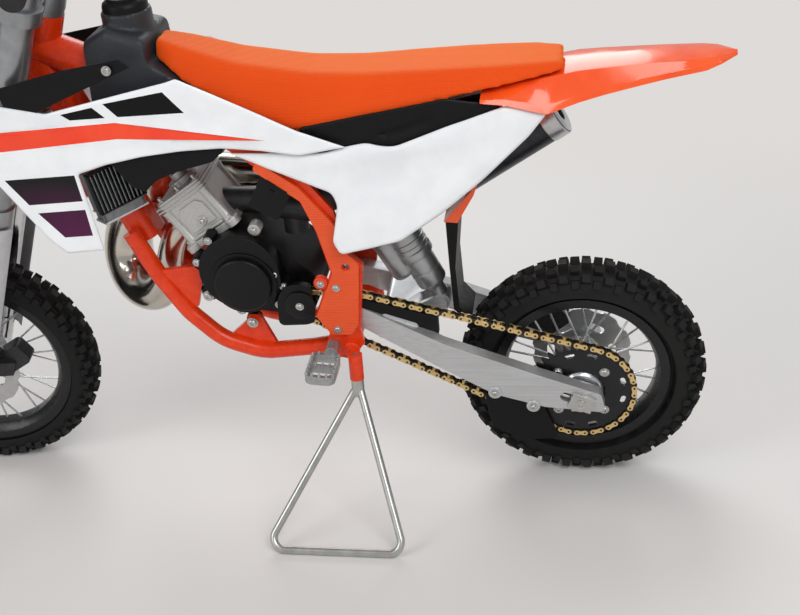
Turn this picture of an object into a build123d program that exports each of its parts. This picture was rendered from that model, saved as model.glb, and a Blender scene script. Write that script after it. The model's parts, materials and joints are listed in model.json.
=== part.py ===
from build123d import *
import math
import os

# Mini motocross bike, parked on a plug-in triangle stand.
#
# Every piece is drawn on the upright bike: X forward, Y to the rider's left, Z up,
# with the floor point under the rear axle at the origin. The front end is drawn in
# its own frame on the steering axis. At the end the front end is turned by the
# parked steering angle, the bike is leaned onto its stand and the whole model is
# moved so that its origin is the middle of its footprint on the floor.

# ---------------------------------------------------------------- driving sizes
WHEELBASE = 1032.0
RAKE = 22.0                 # steering axis, degrees from upright
LEAN = 7.85                 # parked lean to the left, degrees
STEER = 7.4                 # parked steering angle to the left, degrees
CLAMP_OFFSET = 20.0         # fork legs ahead of the steering axis
AXLE_LEAD = 15.0            # front axle ahead of the fork legs
RUNNING_GAP = 0.05          # radial clearance of a shaft in a turning hub
SEAT_GAP = 0.3              # clearance where curved pieces seat on each other

# wheels
REAR_TYRE_R = 194.0
REAR_TYRE_HALF = 36.0
REAR_BEAD_R = 127.0
REAR_BED_R = 117.0
FRONT_TYRE_R = 208.0
FRONT_TYRE_HALF = 31.0
FRONT_BEAD_R = 152.4
FRONT_BED_R = 138.0
RIM_LIP = 11.0              # rim flange above the bead seat
RIM_HALF = 24.0
RIM_WALL = 3.5
TYRE_WALL = 9.0
SPOKES = 28
SPOKE_R = 1.7
AXLE_R = 7.5
AXLE_BORE_R = 5.0
DISC_R = 80.0
DISC_THICK = 3.0

# chain drive
CHAIN_Y = 65.0
CHAIN_HALF_HEIGHT = 5.0
CHAIN_HALF_WIDTH = 6.0
CHAIN_PITCH = 12.7
REAR_TEETH = 40
FRONT_TEETH = 11
SPROCKET_THICK = 6.0
COUNTERSHAFT = (418.0, 356.0)

# swingarm and axle
ARM_INNER_Y = 76.0
ARM_WIDTH = 21.0
ARM_FRONT_INNER_Y = 48.0
PIVOT = (372.0, 352.0)
PIVOT_BOLT_R = 8.0
PIVOT_TUBE_HALF = 56.0

# shock absorber
SHOCK_FOOT = Vector(214, 0, 326)
SHOCK_HEAD = Vector(306, 0, 520)
SHOCK_FOOT_HALF = 15.0
SHOCK_EYE_HALF = 12.0

# frame
PLATE_INNER_Y = 74.0
PLATE_THICK = 8.0
GUARD_THICK = 7.0
BACKBONE_R = 24.0
BACKBONE_HALF = 32.0
CROSS_TUBE_R = 17.0
CRADLE_R = 13.5
CRADLE_Y = 56.0
RAIL_R = 9.0
HEAD_TUBE_R = 27.0
HEAD_TUBE_LOW = 520.0       # along the steering axis, from the axle's level
HEAD_TUBE_HIGH = 662.0
STEM_R = 12.0

# fork
FORK_HALF = 72.0            # fork legs from the centre plane
SLIDER_R = 17.5
SLIDER_FOOT_R = 20.0
FORK_TUBE_R = 24.0
FORK_BELL_R = 28.0
FORK_TUBE_LOW = 318.0
FORK_TUBE_HIGH = 722.0
LOWER_CLAMP = (484.0, 512.0)
UPPER_CLAMP = (671.0, 693.0)
BAR_R = 11.0
BAR_RISE = 60.0             # bar centre above the upper clamp
GRIP_R = 16.0
HANDLEBAR_HALF = 335.0

# stand
STAND_ROD_R = 6.0
STAND_COLLAR_R = 10.0
STAND_COLLAR_TOP = 16.0     # socket's foot above the apex
STAND_APEX = (341.0, 146.0, 214.0)
STAND_FOOT_FRONT = (478.0, 283.0)
STAND_FOOT_REAR = (262.0, 286.0)

# ---------------------------------------------------------------- derived places
REAR_AXLE = (0.0, 0.0, REAR_TYRE_R)
REAR_PITCH_R = CHAIN_PITCH / (2 * math.sin(math.pi / REAR_TEETH))
FRONT_PITCH_R = CHAIN_PITCH / (2 * math.sin(math.pi / FRONT_TEETH))
FORK_OFFSET = CLAMP_OFFSET + AXLE_LEAD
RAKE_SIN = math.sin(math.radians(RAKE))
RAKE_COS = math.cos(math.radians(RAKE))
LEAN_SIN = math.sin(math.radians(LEAN))
LEAN_COS = math.cos(math.radians(LEAN))
GUARD_INNER_Y = PLATE_INNER_Y + PLATE_THICK + SEAT_GAP
ARM_OUTER_Y = ARM_INNER_Y + ARM_WIDTH
ARM_FRONT_OUTER_Y = PLATE_INNER_Y - 1.0
HUB_BORE_R = AXLE_R + RUNNING_GAP


def steering_plane(slide):
    """The front end's frame: local Z up the steering axis, local X forward."""
    foot_x = WHEELBASE - FORK_OFFSET * RAKE_COS - slide * RAKE_SIN
    foot_z = FRONT_TYRE_R - FORK_OFFSET * RAKE_SIN + slide * RAKE_COS
    turn = math.radians(STEER)
    forward = Vector(RAKE_COS, 0, RAKE_SIN) * math.cos(turn) + Vector(0, math.sin(turn), 0)
    return Plane(origin=(foot_x, 0, foot_z), x_dir=forward, z_dir=(-RAKE_SIN, 0, RAKE_COS))


def tyre_low_point(centre, spin_axis, outer_r, half):
    """Height of a leaned tyre's lowest point, from its crown circle."""
    axis_up = spin_axis.Z * LEAN_COS - spin_axis.Y * LEAN_SIN
    centre_up = centre.Z * LEAN_COS - centre.Y * LEAN_SIN
    return centre_up - (outer_r - half) * math.sqrt(1 - axis_up**2) - half


REAR_LOW = tyre_low_point(Vector(*REAR_AXLE), Vector(0, 1, 0), REAR_TYRE_R, REAR_TYRE_HALF)
NOMINAL_FORK = steering_plane(0)
FRONT_LOW = tyre_low_point(
    NOMINAL_FORK.from_local_coords(Vector(FORK_OFFSET, 0, 0)),
    NOMINAL_FORK.y_dir,
    FRONT_TYRE_R,
    FRONT_TYRE_HALF,
)
# The legs slide in the clamps until both tyres touch the floor.
FORK_SLIDE = (REAR_LOW - FRONT_LOW) / (RAKE_COS * LEAN_COS)
FORK_PLANE = steering_plane(FORK_SLIDE)
LEANED = Plane(origin=(0, 0, -REAR_LOW), x_dir=(1, 0, 0), z_dir=(0, LEAN_SIN, LEAN_COS))

os.makedirs("parts", exist_ok=True)
finished = {}


def keep(name, part):
    """Store a piece that is drawn on the upright bike."""
    finished[name] = part.moved(LEANED.location)


def keep_front(name, part):
    """Store a piece that is drawn in the front end's frame."""
    keep(name, part.moved(FORK_PLANE.location))


def rod(start, end, radius):
    """A straight round bar between two points."""
    start = Vector(*start)
    end = Vector(*end)
    with BuildPart() as bar:
        with BuildSketch(Plane(origin=start, z_dir=end - start)):
            Circle(radius)
        extrude(amount=(end - start).length)
    return bar.part


def bent_tube(points, radius, bends):
    """A round tube along straight runs joined by tangent arcs."""
    with BuildPart() as tube:
        with BuildLine() as route:
            FilletPolyline(*points, radius=bends)
        with BuildSketch(Plane(origin=route.line @ 0, z_dir=route.line % 0)):
            Circle(radius)
        sweep(path=route.line)
    return tube.part


def side_plate(points, inner_y, thick, corner):
    """A flat plate seen from the side, with rounded corners, on the left of the bike."""
    with BuildPart() as plate:
        with BuildSketch(Plane.XZ.offset(-inner_y)):
            with BuildLine():
                Polyline(*points, close=True)
            make_face()
            fillet(vertices(), radius=corner)
        extrude(amount=-thick)
    return plate.part


# ---------------------------------------------------------------- wheels
def make_tyre(outer_r, half, bead_r):
    """A hollow tyre, round at the crown, with straight beads inside the rim."""
    crown_r = outer_r - half
    bead_half = RIM_HALF - RIM_WALL - SEAT_GAP
    lip_r = bead_r + RIM_LIP + 1.5
    with BuildPart() as tyre:
        with BuildSketch(Plane.XY):
            with BuildLine():
                Line((bead_r, bead_half), (lip_r, bead_half))
                TangentArc((crown_r, half), (lip_r, bead_half), tangent=(-1, 0))
                ThreePointArc((crown_r, half), (outer_r, 0), (crown_r, -half))
                TangentArc((crown_r, -half), (lip_r, -bead_half), tangent=(-1, 0))
                Line((lip_r, -bead_half), (bead_r, -bead_half))
                Line((bead_r, -bead_half), (bead_r, TYRE_WALL - bead_half))
                Line((bead_r, TYRE_WALL - bead_half), (crown_r, TYRE_WALL - half))
                ThreePointArc(
                    (crown_r, TYRE_WALL - half), (outer_r - TYRE_WALL, 0), (crown_r, half - TYRE_WALL)
                )
                Line((crown_r, half - TYRE_WALL), (bead_r, bead_half - TYRE_WALL))
                Line((bead_r, bead_half - TYRE_WALL), (bead_r, bead_half))
            make_face()
        revolve(axis=Axis.Y)
    return tyre.part


def make_rim(bead_r, bed_r):
    """A spoked rim: two lips, two bead seats and a deeper bed for the nipples."""
    lip_r = bead_r + RIM_LIP
    seat_r = bead_r - SEAT_GAP
    inner_half = RIM_HALF - RIM_WALL
    well_half = inner_half - 9
    with BuildPart() as rim:
        with BuildSketch(Plane.XY):
            with BuildLine():
                Polyline(
                    (lip_r, RIM_HALF),
                    (lip_r, inner_half),
                    (seat_r, inner_half),
                    (bed_r + RIM_WALL, well_half),
                    (bed_r + RIM_WALL, -well_half),
                    (seat_r, -inner_half),
                    (lip_r, -inner_half),
                    (lip_r, -RIM_HALF),
                    (seat_r - RIM_WALL, -RIM_HALF),
                    (bed_r, -well_half),
                    (bed_r, well_half),
                    (seat_r - RIM_WALL, RIM_HALF),
                    close=True,
                )
            make_face()
        revolve(axis=Axis.Y)
    return rim.part


def make_hub(profile, spoke_root_r, spoke_root_y, bed_r, lacing):
    """A turned hub with crossed wire spokes, as one piece that carries the rim."""
    with BuildPart() as hub:
        with BuildSketch(Plane.XY):
            with BuildLine():
                Polyline(*profile, close=True)
            make_face()
        revolve(axis=Axis.Y)
        for spoke in range(SPOKES):
            side = 1 if spoke % 2 == 0 else -1
            lean_way = 1 if spoke % 4 < 2 else -1
            root_angle = math.radians(spoke * 360 / SPOKES - lean_way * lacing)
            rim_angle = math.radians(spoke * 360 / SPOKES)
            root = Vector(
                spoke_root_r * math.cos(root_angle), side * spoke_root_y, spoke_root_r * math.sin(root_angle)
            )
            tip_r = bed_r - 0.8
            tip = Vector(tip_r * math.cos(rim_angle), side * 4.0, tip_r * math.sin(rim_angle))
            with BuildSketch(Plane(origin=root, z_dir=tip - root)):
                Circle(SPOKE_R)
            extrude(amount=(tip - root).length)
    return hub.part


def make_disc(centre_y, hole_r):
    """A brake disc with a scalloped edge and windows between its arms."""
    with BuildPart() as disc:
        with BuildSketch(Plane.XZ.offset(-centre_y)):
            Circle(DISC_R)
            with PolarLocations(DISC_R + 26, 10):
                Circle(30, mode=Mode.SUBTRACT)
            Circle(hole_r, mode=Mode.SUBTRACT)
            with PolarLocations((DISC_R + hole_r) / 2 - 6, 6):
                SlotOverall(26, 12, rotation=90, mode=Mode.SUBTRACT)
        extrude(amount=DISC_THICK / 2, both=True)
    return disc.part


REAR_HUB_LEFT = 70.0
REAR_HUB_RIGHT = -58.0
REAR_DISC_Y = -45.0
SPROCKET_FACE_Y = CHAIN_Y - SPROCKET_THICK / 2
rear_hub_profile = [
    (HUB_BORE_R, REAR_HUB_RIGHT),
    (17, REAR_HUB_RIGHT),
    (17, REAR_DISC_Y - DISC_THICK / 2),
    (30, REAR_DISC_Y - DISC_THICK / 2),
    (30, -41),
    (20, -36),
    (20, -28),
    (29, -27),
    (29, -22),
    (18, -19),
    (18, 19),
    (29, 22),
    (29, 27),
    (22, 30),
    (30, 52),
    (62, 57),
    (62, SPROCKET_FACE_Y),
    (36, SPROCKET_FACE_Y),
    (30, REAR_HUB_LEFT),
    (HUB_BORE_R, REAR_HUB_LEFT),
]
rear_spin = Plane(origin=REAR_AXLE, x_dir=(1, 0, 0), z_dir=(0, 0, 1))
rear_tyre = make_tyre(REAR_TYRE_R, REAR_TYRE_HALF, REAR_BEAD_R)
keep("rear_tyre", rear_tyre.moved(rear_spin.location))
rear_rim = make_rim(REAR_BEAD_R, REAR_BED_R)
keep("rear_rim", rear_rim.moved(rear_spin.location))
rear_hub = make_hub(rear_hub_profile, 27, 24.5, REAR_BED_R, 34)
keep("rear_hub", rear_hub.moved(rear_spin.location))
rear_disc = make_disc(REAR_DISC_Y, 30 + SEAT_GAP)
keep("rear_disc", rear_disc.moved(rear_spin.location))

# The sprocket is a disc with oval windows; its teeth reach into the chain.
SPROCKET_BODY_R = REAR_PITCH_R - CHAIN_HALF_HEIGHT - 1.2
with BuildPart() as rear_sprocket:
    with BuildSketch(Plane.XZ.offset(-SPROCKET_FACE_Y)):
        Circle(SPROCKET_BODY_R)
        Circle(36 + SEAT_GAP, mode=Mode.SUBTRACT)
        for bolt in range(4):
            for side in (-1, 1):
                with PolarLocations(66, 1, start_angle=90 * bolt + 15 * side):
                    SlotOverall(16, 8, rotation=90, mode=Mode.SUBTRACT)
    extrude(amount=-SPROCKET_THICK)
keep("rear_sprocket", rear_sprocket.part.moved(rear_spin.location))

FRONT_HUB_LEFT = 46.0
FRONT_HUB_RIGHT = -42.0
FRONT_DISC_Y = 38.0
front_hub_profile = [
    (HUB_BORE_R, FRONT_HUB_RIGHT),
    (15, FRONT_HUB_RIGHT),
    (15, -27),
    (25, -25),
    (25, -20),
    (15, -17),
    (15, 17),
    (25, 20),
    (25, 25),
    (20, 28),
    (30, 33),
    (30, FRONT_DISC_Y + DISC_THICK / 2),
    (16, FRONT_DISC_Y + DISC_THICK / 2),
    (14, FRONT_HUB_LEFT),
    (HUB_BORE_R, FRONT_HUB_LEFT),
]
front_spin = Plane(origin=(FORK_OFFSET, 0, 0), x_dir=(1, 0, 0), z_dir=(0, 0, 1))
front_tyre = make_tyre(FRONT_TYRE_R, FRONT_TYRE_HALF, FRONT_BEAD_R)
keep_front("front_tyre", front_tyre.moved(front_spin.location))
front_rim = make_rim(FRONT_BEAD_R, FRONT_BED_R)
keep_front("front_rim", front_rim.moved(front_spin.location))
front_hub = make_hub(front_hub_profile, 23, 22.5, FRONT_BED_R, 38)
keep_front("front_hub", front_hub.moved(front_spin.location))
front_disc = make_disc(FRONT_DISC_Y, 30 + SEAT_GAP)
keep_front("front_disc", front_disc.moved(front_spin.location))

# ---------------------------------------------------------------- axles
with BuildPart() as rear_axle:
    with BuildSketch(Plane.XZ.offset(-(ARM_OUTER_Y + 9))):
        Circle(AXLE_R)
    extrude(amount=2 * (ARM_OUTER_Y + 9))
    for side in (-1, 1):
        hub_end = REAR_HUB_LEFT if side > 0 else -REAR_HUB_RIGHT
        with BuildSketch(Plane.XZ.offset(-side * (hub_end + SEAT_GAP))):
            Circle(12)
        extrude(amount=-side * (ARM_INNER_Y - hub_end - 2 * SEAT_GAP))
        with BuildSketch(Plane.XZ.offset(-side * (ARM_OUTER_Y + SEAT_GAP))):
            Circle(15)
            Rectangle(30, 27)
        extrude(amount=-side * 6)
    with BuildSketch(Plane.XZ.offset(-(ARM_OUTER_Y + 9))):
        Circle(AXLE_BORE_R)
    extrude(amount=2 * (ARM_OUTER_Y + 9), mode=Mode.SUBTRACT)
keep("rear_axle", rear_axle.part.moved(rear_spin.location))

LUG_INNER_Y = FORK_HALF - SLIDER_FOOT_R
LUG_OUTER_Y = FORK_HALF + SLIDER_FOOT_R
with BuildPart() as front_axle:
    with BuildSketch(Plane.XZ.offset(-(LUG_OUTER_Y + 6))):
        Circle(AXLE_R)
    extrude(amount=2 * (LUG_OUTER_Y + 6))
    for side in (-1, 1):
        hub_end = FRONT_HUB_LEFT if side > 0 else -FRONT_HUB_RIGHT
        with BuildSketch(Plane.XZ.offset(-side * (hub_end + SEAT_GAP))):
            Circle(11)
        extrude(amount=-side * (LUG_INNER_Y - hub_end - 2 * SEAT_GAP))
        with BuildSketch(Plane.XZ.offset(-side * (LUG_OUTER_Y + SEAT_GAP))):
            Circle(11)
        extrude(amount=-side * 5)
    with BuildSketch(Plane.XZ.offset(-(LUG_OUTER_Y + 6))):
        Circle(AXLE_BORE_R)
    extrude(amount=2 * (LUG_OUTER_Y + 6), mode=Mode.SUBTRACT)
keep_front("front_axle", front_axle.part.moved(front_spin.location))

# ---------------------------------------------------------------- chain drive
# The chain is a fixed band. The slider on the swingarm lifts its upper run.
SLIDER_TOP = (322.0, 357.0)
SLIDER_TOP_R = 12.0


def chain_loop(grow, half_width):
    """The chain's side view, a hull round both sprockets and the slider."""
    with BuildSketch(Plane.XZ.offset(half_width - CHAIN_Y)) as loop:
        with Locations((REAR_AXLE[0], REAR_AXLE[2])):
            Circle(REAR_PITCH_R + grow)
        with Locations(COUNTERSHAFT):
            Circle(FRONT_PITCH_R + grow)
        with Locations(SLIDER_TOP):
            Circle(SLIDER_TOP_R + grow)
        make_hull()
    return loop.sketch


with BuildPart() as chain:
    extrude(chain_loop(CHAIN_HALF_HEIGHT, CHAIN_HALF_WIDTH), amount=-2 * CHAIN_HALF_WIDTH)
    extrude(
        chain_loop(-CHAIN_HALF_HEIGHT, CHAIN_HALF_WIDTH), amount=-2 * CHAIN_HALF_WIDTH, mode=Mode.SUBTRACT
    )
keep("chain", chain.part)

# ---------------------------------------------------------------- swingarm
ARM_SIDE = [
    (391, 357),
    (340, 355),
    (60, 242),
    (-30, 208),
    (-38, 174),
    (55, 184),
    (131, 207),
    (200, 249),
    (340, 319),
    (391, 325),
]
ARM_PLAN = [
    (-45, ARM_INNER_Y),
    (-45, ARM_OUTER_Y),
    (205, ARM_OUTER_Y),
    (330, ARM_FRONT_OUTER_Y),
    (391, ARM_FRONT_OUTER_Y),
    (391, ARM_FRONT_INNER_Y),
    (325, ARM_FRONT_INNER_Y),
    (205, ARM_INNER_Y),
]
AXLE_SLOT = 46.0
ARM_SLOPE = 22.0            # the adjuster slot climbs towards the pivot
with BuildPart() as left_arm:
    with BuildSketch(Plane.XY.offset(150)):
        with BuildLine():
            Polyline(*ARM_PLAN, close=True)
        make_face()
    extrude(amount=260)
    with BuildSketch(Plane.XZ.offset(-120)):
        with BuildLine():
            Polyline(*ARM_SIDE, close=True)
        make_face()
        fillet(vertices(), radius=8)
    extrude(amount=120, mode=Mode.INTERSECT)
    with BuildSketch(Plane.XZ.offset(-120)):
        with Locations((10, REAR_AXLE[2] + 10 * math.tan(math.radians(ARM_SLOPE)))):
            SlotOverall(AXLE_SLOT, 2 * (AXLE_R + SEAT_GAP), rotation=ARM_SLOPE)
    extrude(amount=60, mode=Mode.SUBTRACT)

with BuildPart() as swingarm:
    add(left_arm.part)
    mirror(left_arm.part, about=Plane.XZ)
    # cross member ahead of the tyre, and the pivot tube
    with BuildSketch(Plane.XZ.offset(-ARM_FRONT_OUTER_Y)):
        with BuildLine():
            Polyline((300, 342), (246, 322), (236, 282), (262, 276), (312, 300), close=True)
        make_face()
        fillet(vertices(), radius=8)
    extrude(amount=2 * ARM_FRONT_OUTER_Y)
    with BuildSketch(Plane.XZ.offset(-PIVOT_TUBE_HALF)):
        with Locations(PIVOT):
            Circle(18.5)
    extrude(amount=2 * PIVOT_TUBE_HALF)
    # bolt through the frame plates
    with BuildSketch(Plane.XZ.offset(-(PLATE_INNER_Y + PLATE_THICK))):
        with Locations(PIVOT):
            Circle(PIVOT_BOLT_R)
    extrude(amount=2 * (PLATE_INNER_Y + PLATE_THICK))
    # ears for the shock's foot
    for side in (-1, 1):
        with BuildSketch(Plane.XZ.offset(-side * (SHOCK_FOOT_HALF + SEAT_GAP))):
            with BuildLine():
                Polyline((262, 300), (258, 322), (222, 338), (206, 330), (206, 312), (236, 290), close=True)
            make_face()
        extrude(amount=-side * 7)
keep("swingarm", swingarm.part)

# Black plastic: the slider over the arm's front and the guide under its middle.
GUIDE_HALF = 10.7
CHEEK_GAP = 7.5             # from the chain's middle to the guide's cheeks
with BuildPart() as chain_guides:
    with BuildSketch(Plane.XZ.offset(GUIDE_HALF - CHAIN_Y)):
        with BuildLine():
            Polyline((150, 196), (60, 176), (34, 106), (92, 102), (140, 128), close=True)
        make_face()
        fillet(vertices(), radius=9)
    extrude(amount=-2 * GUIDE_HALF)
    extrude(chain_loop(CHAIN_HALF_HEIGHT + 2, CHEEK_GAP), amount=-2 * CHEEK_GAP, mode=Mode.SUBTRACT)
    with BuildSketch(Plane.XZ.offset(-(CHAIN_Y - 9))):
        with BuildLine():
            Polyline(
                (356, 362), (322, 363.4), (300, 357.4), (215, 333.3), (215, 300), (300, 330), (356, 345),
                close=True,
            )
        make_face()
    extrude(amount=-17)
    add(swingarm.part, mode=Mode.SUBTRACT)
keep("chain_guides", chain_guides.part)

# ---------------------------------------------------------------- frame
HEAD_LOW_POINT = FORK_PLANE.from_local_coords(Vector(0, 0, HEAD_TUBE_LOW))
HEAD_HIGH_POINT = FORK_PLANE.from_local_coords(Vector(0, 0, HEAD_TUBE_HIGH))
head_plane = Plane(origin=HEAD_LOW_POINT, x_dir=(RAKE_COS, 0, RAKE_SIN), z_dir=(-RAKE_SIN, 0, RAKE_COS))
BACKBONE_END = (486.0, 0.0, 632.0)
with BuildPart() as frame_backbone:
    with BuildSketch(head_plane):
        Circle(HEAD_TUBE_R)
    extrude(amount=HEAD_TUBE_HIGH - HEAD_TUBE_LOW)
    backbone_start = HEAD_LOW_POINT + (HEAD_HIGH_POINT - HEAD_LOW_POINT) * 0.62
    backbone_run = Vector(*BACKBONE_END) - backbone_start
    with BuildSketch(Plane(origin=backbone_start, z_dir=backbone_run, x_dir=(0, 1, 0))):
        Ellipse(BACKBONE_HALF, BACKBONE_R)
    extrude(amount=backbone_run.length)
    # cross tube that carries the side plates
    with BuildSketch(Plane.XZ.offset(-PLATE_INNER_Y)):
        with Locations((BACKBONE_END[0], BACKBONE_END[2])):
            Circle(CROSS_TUBE_R)
    extrude(amount=2 * PLATE_INNER_Y)
    with BuildSketch(head_plane):
        Circle(STEM_R + RUNNING_GAP)
    extrude(amount=HEAD_TUBE_HIGH - HEAD_TUBE_LOW, mode=Mode.SUBTRACT)
keep("frame_backbone", frame_backbone.part)

# One wide pressed tube runs down from the head tube and ends above the cradles.
DOWN_TUBE_END = (672.0, 0.0, 446.0)
with BuildPart() as down_tube:
    down_start = HEAD_LOW_POINT + (HEAD_HIGH_POINT - HEAD_LOW_POINT) * 0.5
    with BuildSketch(Plane(origin=down_start, z_dir=Vector(*DOWN_TUBE_END) - down_start, x_dir=(0, 1, 0))):
        RectangleRounded(56, 44, 14)
    extrude(amount=(Vector(*DOWN_TUBE_END) - down_start).length)
    with BuildSketch(head_plane):
        Circle(HEAD_TUBE_R + SEAT_GAP)
    extrude(amount=HEAD_TUBE_HIGH - HEAD_TUBE_LOW, mode=Mode.SUBTRACT)
    add(frame_backbone.part, mode=Mode.SUBTRACT)
keep("down_tube", down_tube.part)

CRADLE_FOOT = (356.0, 270.0)
with BuildPart() as cradle_tubes:
    for side in (-1, 1):
        add(
            bent_tube(
                [
                    (684, side * 42, 470),
                    (652, side * 46, 396),
                    (612, side * 52, 332),
                    (564, side * CRADLE_Y, 283),
                    (500, side * CRADLE_Y, 260),
                    (420, side * 46, 262),
                    (CRADLE_FOOT[0], side * 40, CRADLE_FOOT[1]),
                ],
                CRADLE_R,
                100,
            )
        )
        # ears that carry the engine's foot and its front
        with BuildSketch(Plane.XZ.offset(-side * (CRADLE_Y - 4))):
            with BuildLine():
                Polyline((476, 264), (496, 318), (502, 326), (516, 326), (524, 312), (554, 286), close=True)
            make_face()
            fillet(vertices(), radius=3)
            with BuildLine():
                Polyline((654, 406), (590, 414), (583, 406), (583, 384), (596, 342), (622, 344), close=True)
            make_face()
        extrude(amount=side * 8)
    # rear cross tube between the side plates
    with BuildSketch(Plane.XZ.offset(-PLATE_INNER_Y)):
        with Locations(CRADLE_FOOT):
            Circle(11)
    extrude(amount=2 * PLATE_INNER_Y)
keep("cradle_tubes", cradle_tubes.part)

PLATE_OUTLINE = [
    (505, 630),
    (470, 634),
    (400, 590),
    (352, 522),
    (336, 450),
    (318, 432),
    (333, 318),
    (330, 292),
    (352, 262),
    (396, 272),
    (382, 312),
    (400, 345),
    (368, 420),
    (382, 490),
    (402, 546),
    (470, 604),
]
FRAME_HOLE = (343.0, 431.0)
FRAME_HOLE_R = 6.5
FLOOR_UP = LEANED.to_local_coords(Vector(0, 0, 1)) - LEANED.to_local_coords(Vector(0, 0, 0))
SOCKET_FOOT = LEANED.to_local_coords(Vector(*STAND_APEX) + Vector(0, 0, STAND_COLLAR_TOP))
SOCKET_LENGTH = 42.0
SOCKET_R = 11.0
PEG_ROOT = (378.0, 290.0)
with BuildPart() as frame_plates:
    add(side_plate(PLATE_OUTLINE, PLATE_INNER_Y, PLATE_THICK, 6))
    # arm and socket that take the stand's plug
    socket_middle = SOCKET_FOOT + FLOOR_UP * (0.6 * SOCKET_LENGTH)
    add(rod((350, PLATE_INNER_Y + 4, 284), socket_middle, 8))
    with BuildSketch(Plane(origin=SOCKET_FOOT, z_dir=FLOOR_UP)):
        Circle(SOCKET_R)
    extrude(amount=SOCKET_LENGTH)
    with BuildSketch(Plane(origin=SOCKET_FOOT, z_dir=FLOOR_UP)):
        Circle(STAND_ROD_R + 0.2)
    extrude(amount=SOCKET_LENGTH, mode=Mode.SUBTRACT)
    with BuildSketch(Plane.XZ.offset(-120)):
        with Locations(PIVOT):
            Circle(PIVOT_BOLT_R + RUNNING_GAP)
        with Locations(FRAME_HOLE):
            Circle(FRAME_HOLE_R)
    extrude(amount=120, mode=Mode.SUBTRACT)
    mirror(about=Plane.XZ)
keep("frame_plates", frame_plates.part)

GUARD_OUTLINE = [
    (452, 606),
    (396, 562),
    (350, 500),
    (336, 452),
    (322, 436),
    (334, 330),
    (346, 312),
    (378, 312),
    (398, 345),
    (364, 420),
    (378, 488),
    (396, 540),
    (460, 592),
]
with BuildPart() as frame_guards:
    add(side_plate(GUARD_OUTLINE, GUARD_INNER_Y, GUARD_THICK, 5))
    with BuildSketch(Plane.XZ.offset(-120)):
        with Locations(FRAME_HOLE):
            Circle(FRAME_HOLE_R)
    extrude(amount=60, mode=Mode.SUBTRACT)
    mirror(about=Plane.XZ)
keep("frame_guards", frame_guards.part)

RAIL_Y = 50.0
RAIL_KNEE = (330.0, 592.0)
RAIL_TAIL = (116.0, 637.0)
RAIL_RISE = (RAIL_TAIL[1] - RAIL_KNEE[1]) / (RAIL_KNEE[0] - RAIL_TAIL[0])
FENDER_NECK = (112.0, 664.0)        # top and bottom of the fender's front face
FENDER_THROAT = (154.0, 536.0)
with BuildPart() as subframe:
    for side in (-1, 1):
        rail_side = side * RAIL_Y
        rail_points = [(480, rail_side, 618), (RAIL_KNEE[0], rail_side, RAIL_KNEE[1])]
        rail_points.append((RAIL_TAIL[0], rail_side, RAIL_TAIL[1]))
        add(bent_tube(rail_points, RAIL_R, 60))
        # ears for the shock's head
        with BuildSketch(Plane.XZ.offset(-side * (SHOCK_EYE_HALF + SEAT_GAP))):
            with Locations((SHOCK_HEAD.X, SHOCK_HEAD.Z)):
                Circle(12)
            with Locations(RAIL_KNEE):
                Circle(8)
            make_hull()
        extrude(amount=-side * 6)
    with BuildSketch(Plane.XZ.offset(-RAIL_Y)):
        with Locations(RAIL_KNEE):
            Circle(7)
    extrude(amount=2 * RAIL_Y)
    with BuildSketch(Plane.XZ.offset(-RAIL_Y)):
        with Locations((154, 629)):
            Circle(6)
    extrude(amount=2 * RAIL_Y)
    # the rails stop at the backbone's cross tube and at the fender's front face
    with BuildSketch(Plane.XZ.offset(-PLATE_INNER_Y)):
        with Locations((BACKBONE_END[0], BACKBONE_END[2])):
            Circle(CROSS_TUBE_R + SEAT_GAP)
        with BuildLine():
            Polyline(
                (FENDER_NECK[0] + SEAT_GAP, FENDER_NECK[1]),
                (FENDER_THROAT[0] + SEAT_GAP, FENDER_THROAT[1]),
                (FENDER_THROAT[0] - 100, FENDER_THROAT[1]),
                (FENDER_NECK[0] - 58, FENDER_NECK[1]),
                close=True,
            )
        make_face()
    extrude(amount=2 * PLATE_INNER_Y, mode=Mode.SUBTRACT)
keep("subframe", subframe.part)

# ---------------------------------------------------------------- engine
with BuildPart() as engine_case:
    with BuildSketch(Plane.XZ.offset(-50)):
        with Locations((512, 402)):
            Circle(66)
        with Locations((442, 372)):
            Circle(46)
        make_hull()
    extrude(amount=108)
    with BuildSketch(Plane.XZ.offset(-(CHAIN_Y - 3))):
        with Locations(COUNTERSHAFT):
            Circle(FRONT_PITCH_R - CHAIN_HALF_HEIGHT - SEAT_GAP)
    extrude(amount=20)
keep("engine_case", engine_case.part)

IGNITION = (512.0, 414.0)
with BuildPart() as ignition_cover:
    with BuildSketch(Plane.XZ.offset(-50)):
        with Locations(IGNITION):
            Circle(63)
        with Locations((460, 398)):
            Circle(12)
        make_hull()
    extrude(amount=-26)
    with BuildSketch(Plane.XZ.offset(-76)):
        with Locations((IGNITION[0] - 5, IGNITION[1] - 16)):
            Circle(45)
    extrude(amount=-12)
    chamfer(ignition_cover.faces().sort_by(Axis.Y)[-1].edges(), length=3)
keep("ignition_cover", ignition_cover.part)

with BuildPart() as sprocket_cover:
    with BuildSketch(Plane.XZ.offset(-PLATE_INNER_Y)):
        with Locations((421, 364)):
            Circle(36)
        with Locations((450, 336)):
            Circle(9)
        make_hull()
        with Locations((COUNTERSHAFT[0] - 45, COUNTERSHAFT[1])):
            Rectangle(60, 120, mode=Mode.SUBTRACT)
    extrude(amount=-12)
    # boss on the crankcase
    with BuildSketch(Plane.XZ.offset(-PLATE_INNER_Y)):
        with Locations((450, 336)):
            Circle(6)
    extrude(amount=PLATE_INNER_Y - 50 - SEAT_GAP)
keep("sprocket_cover", sprocket_cover.part)

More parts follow.
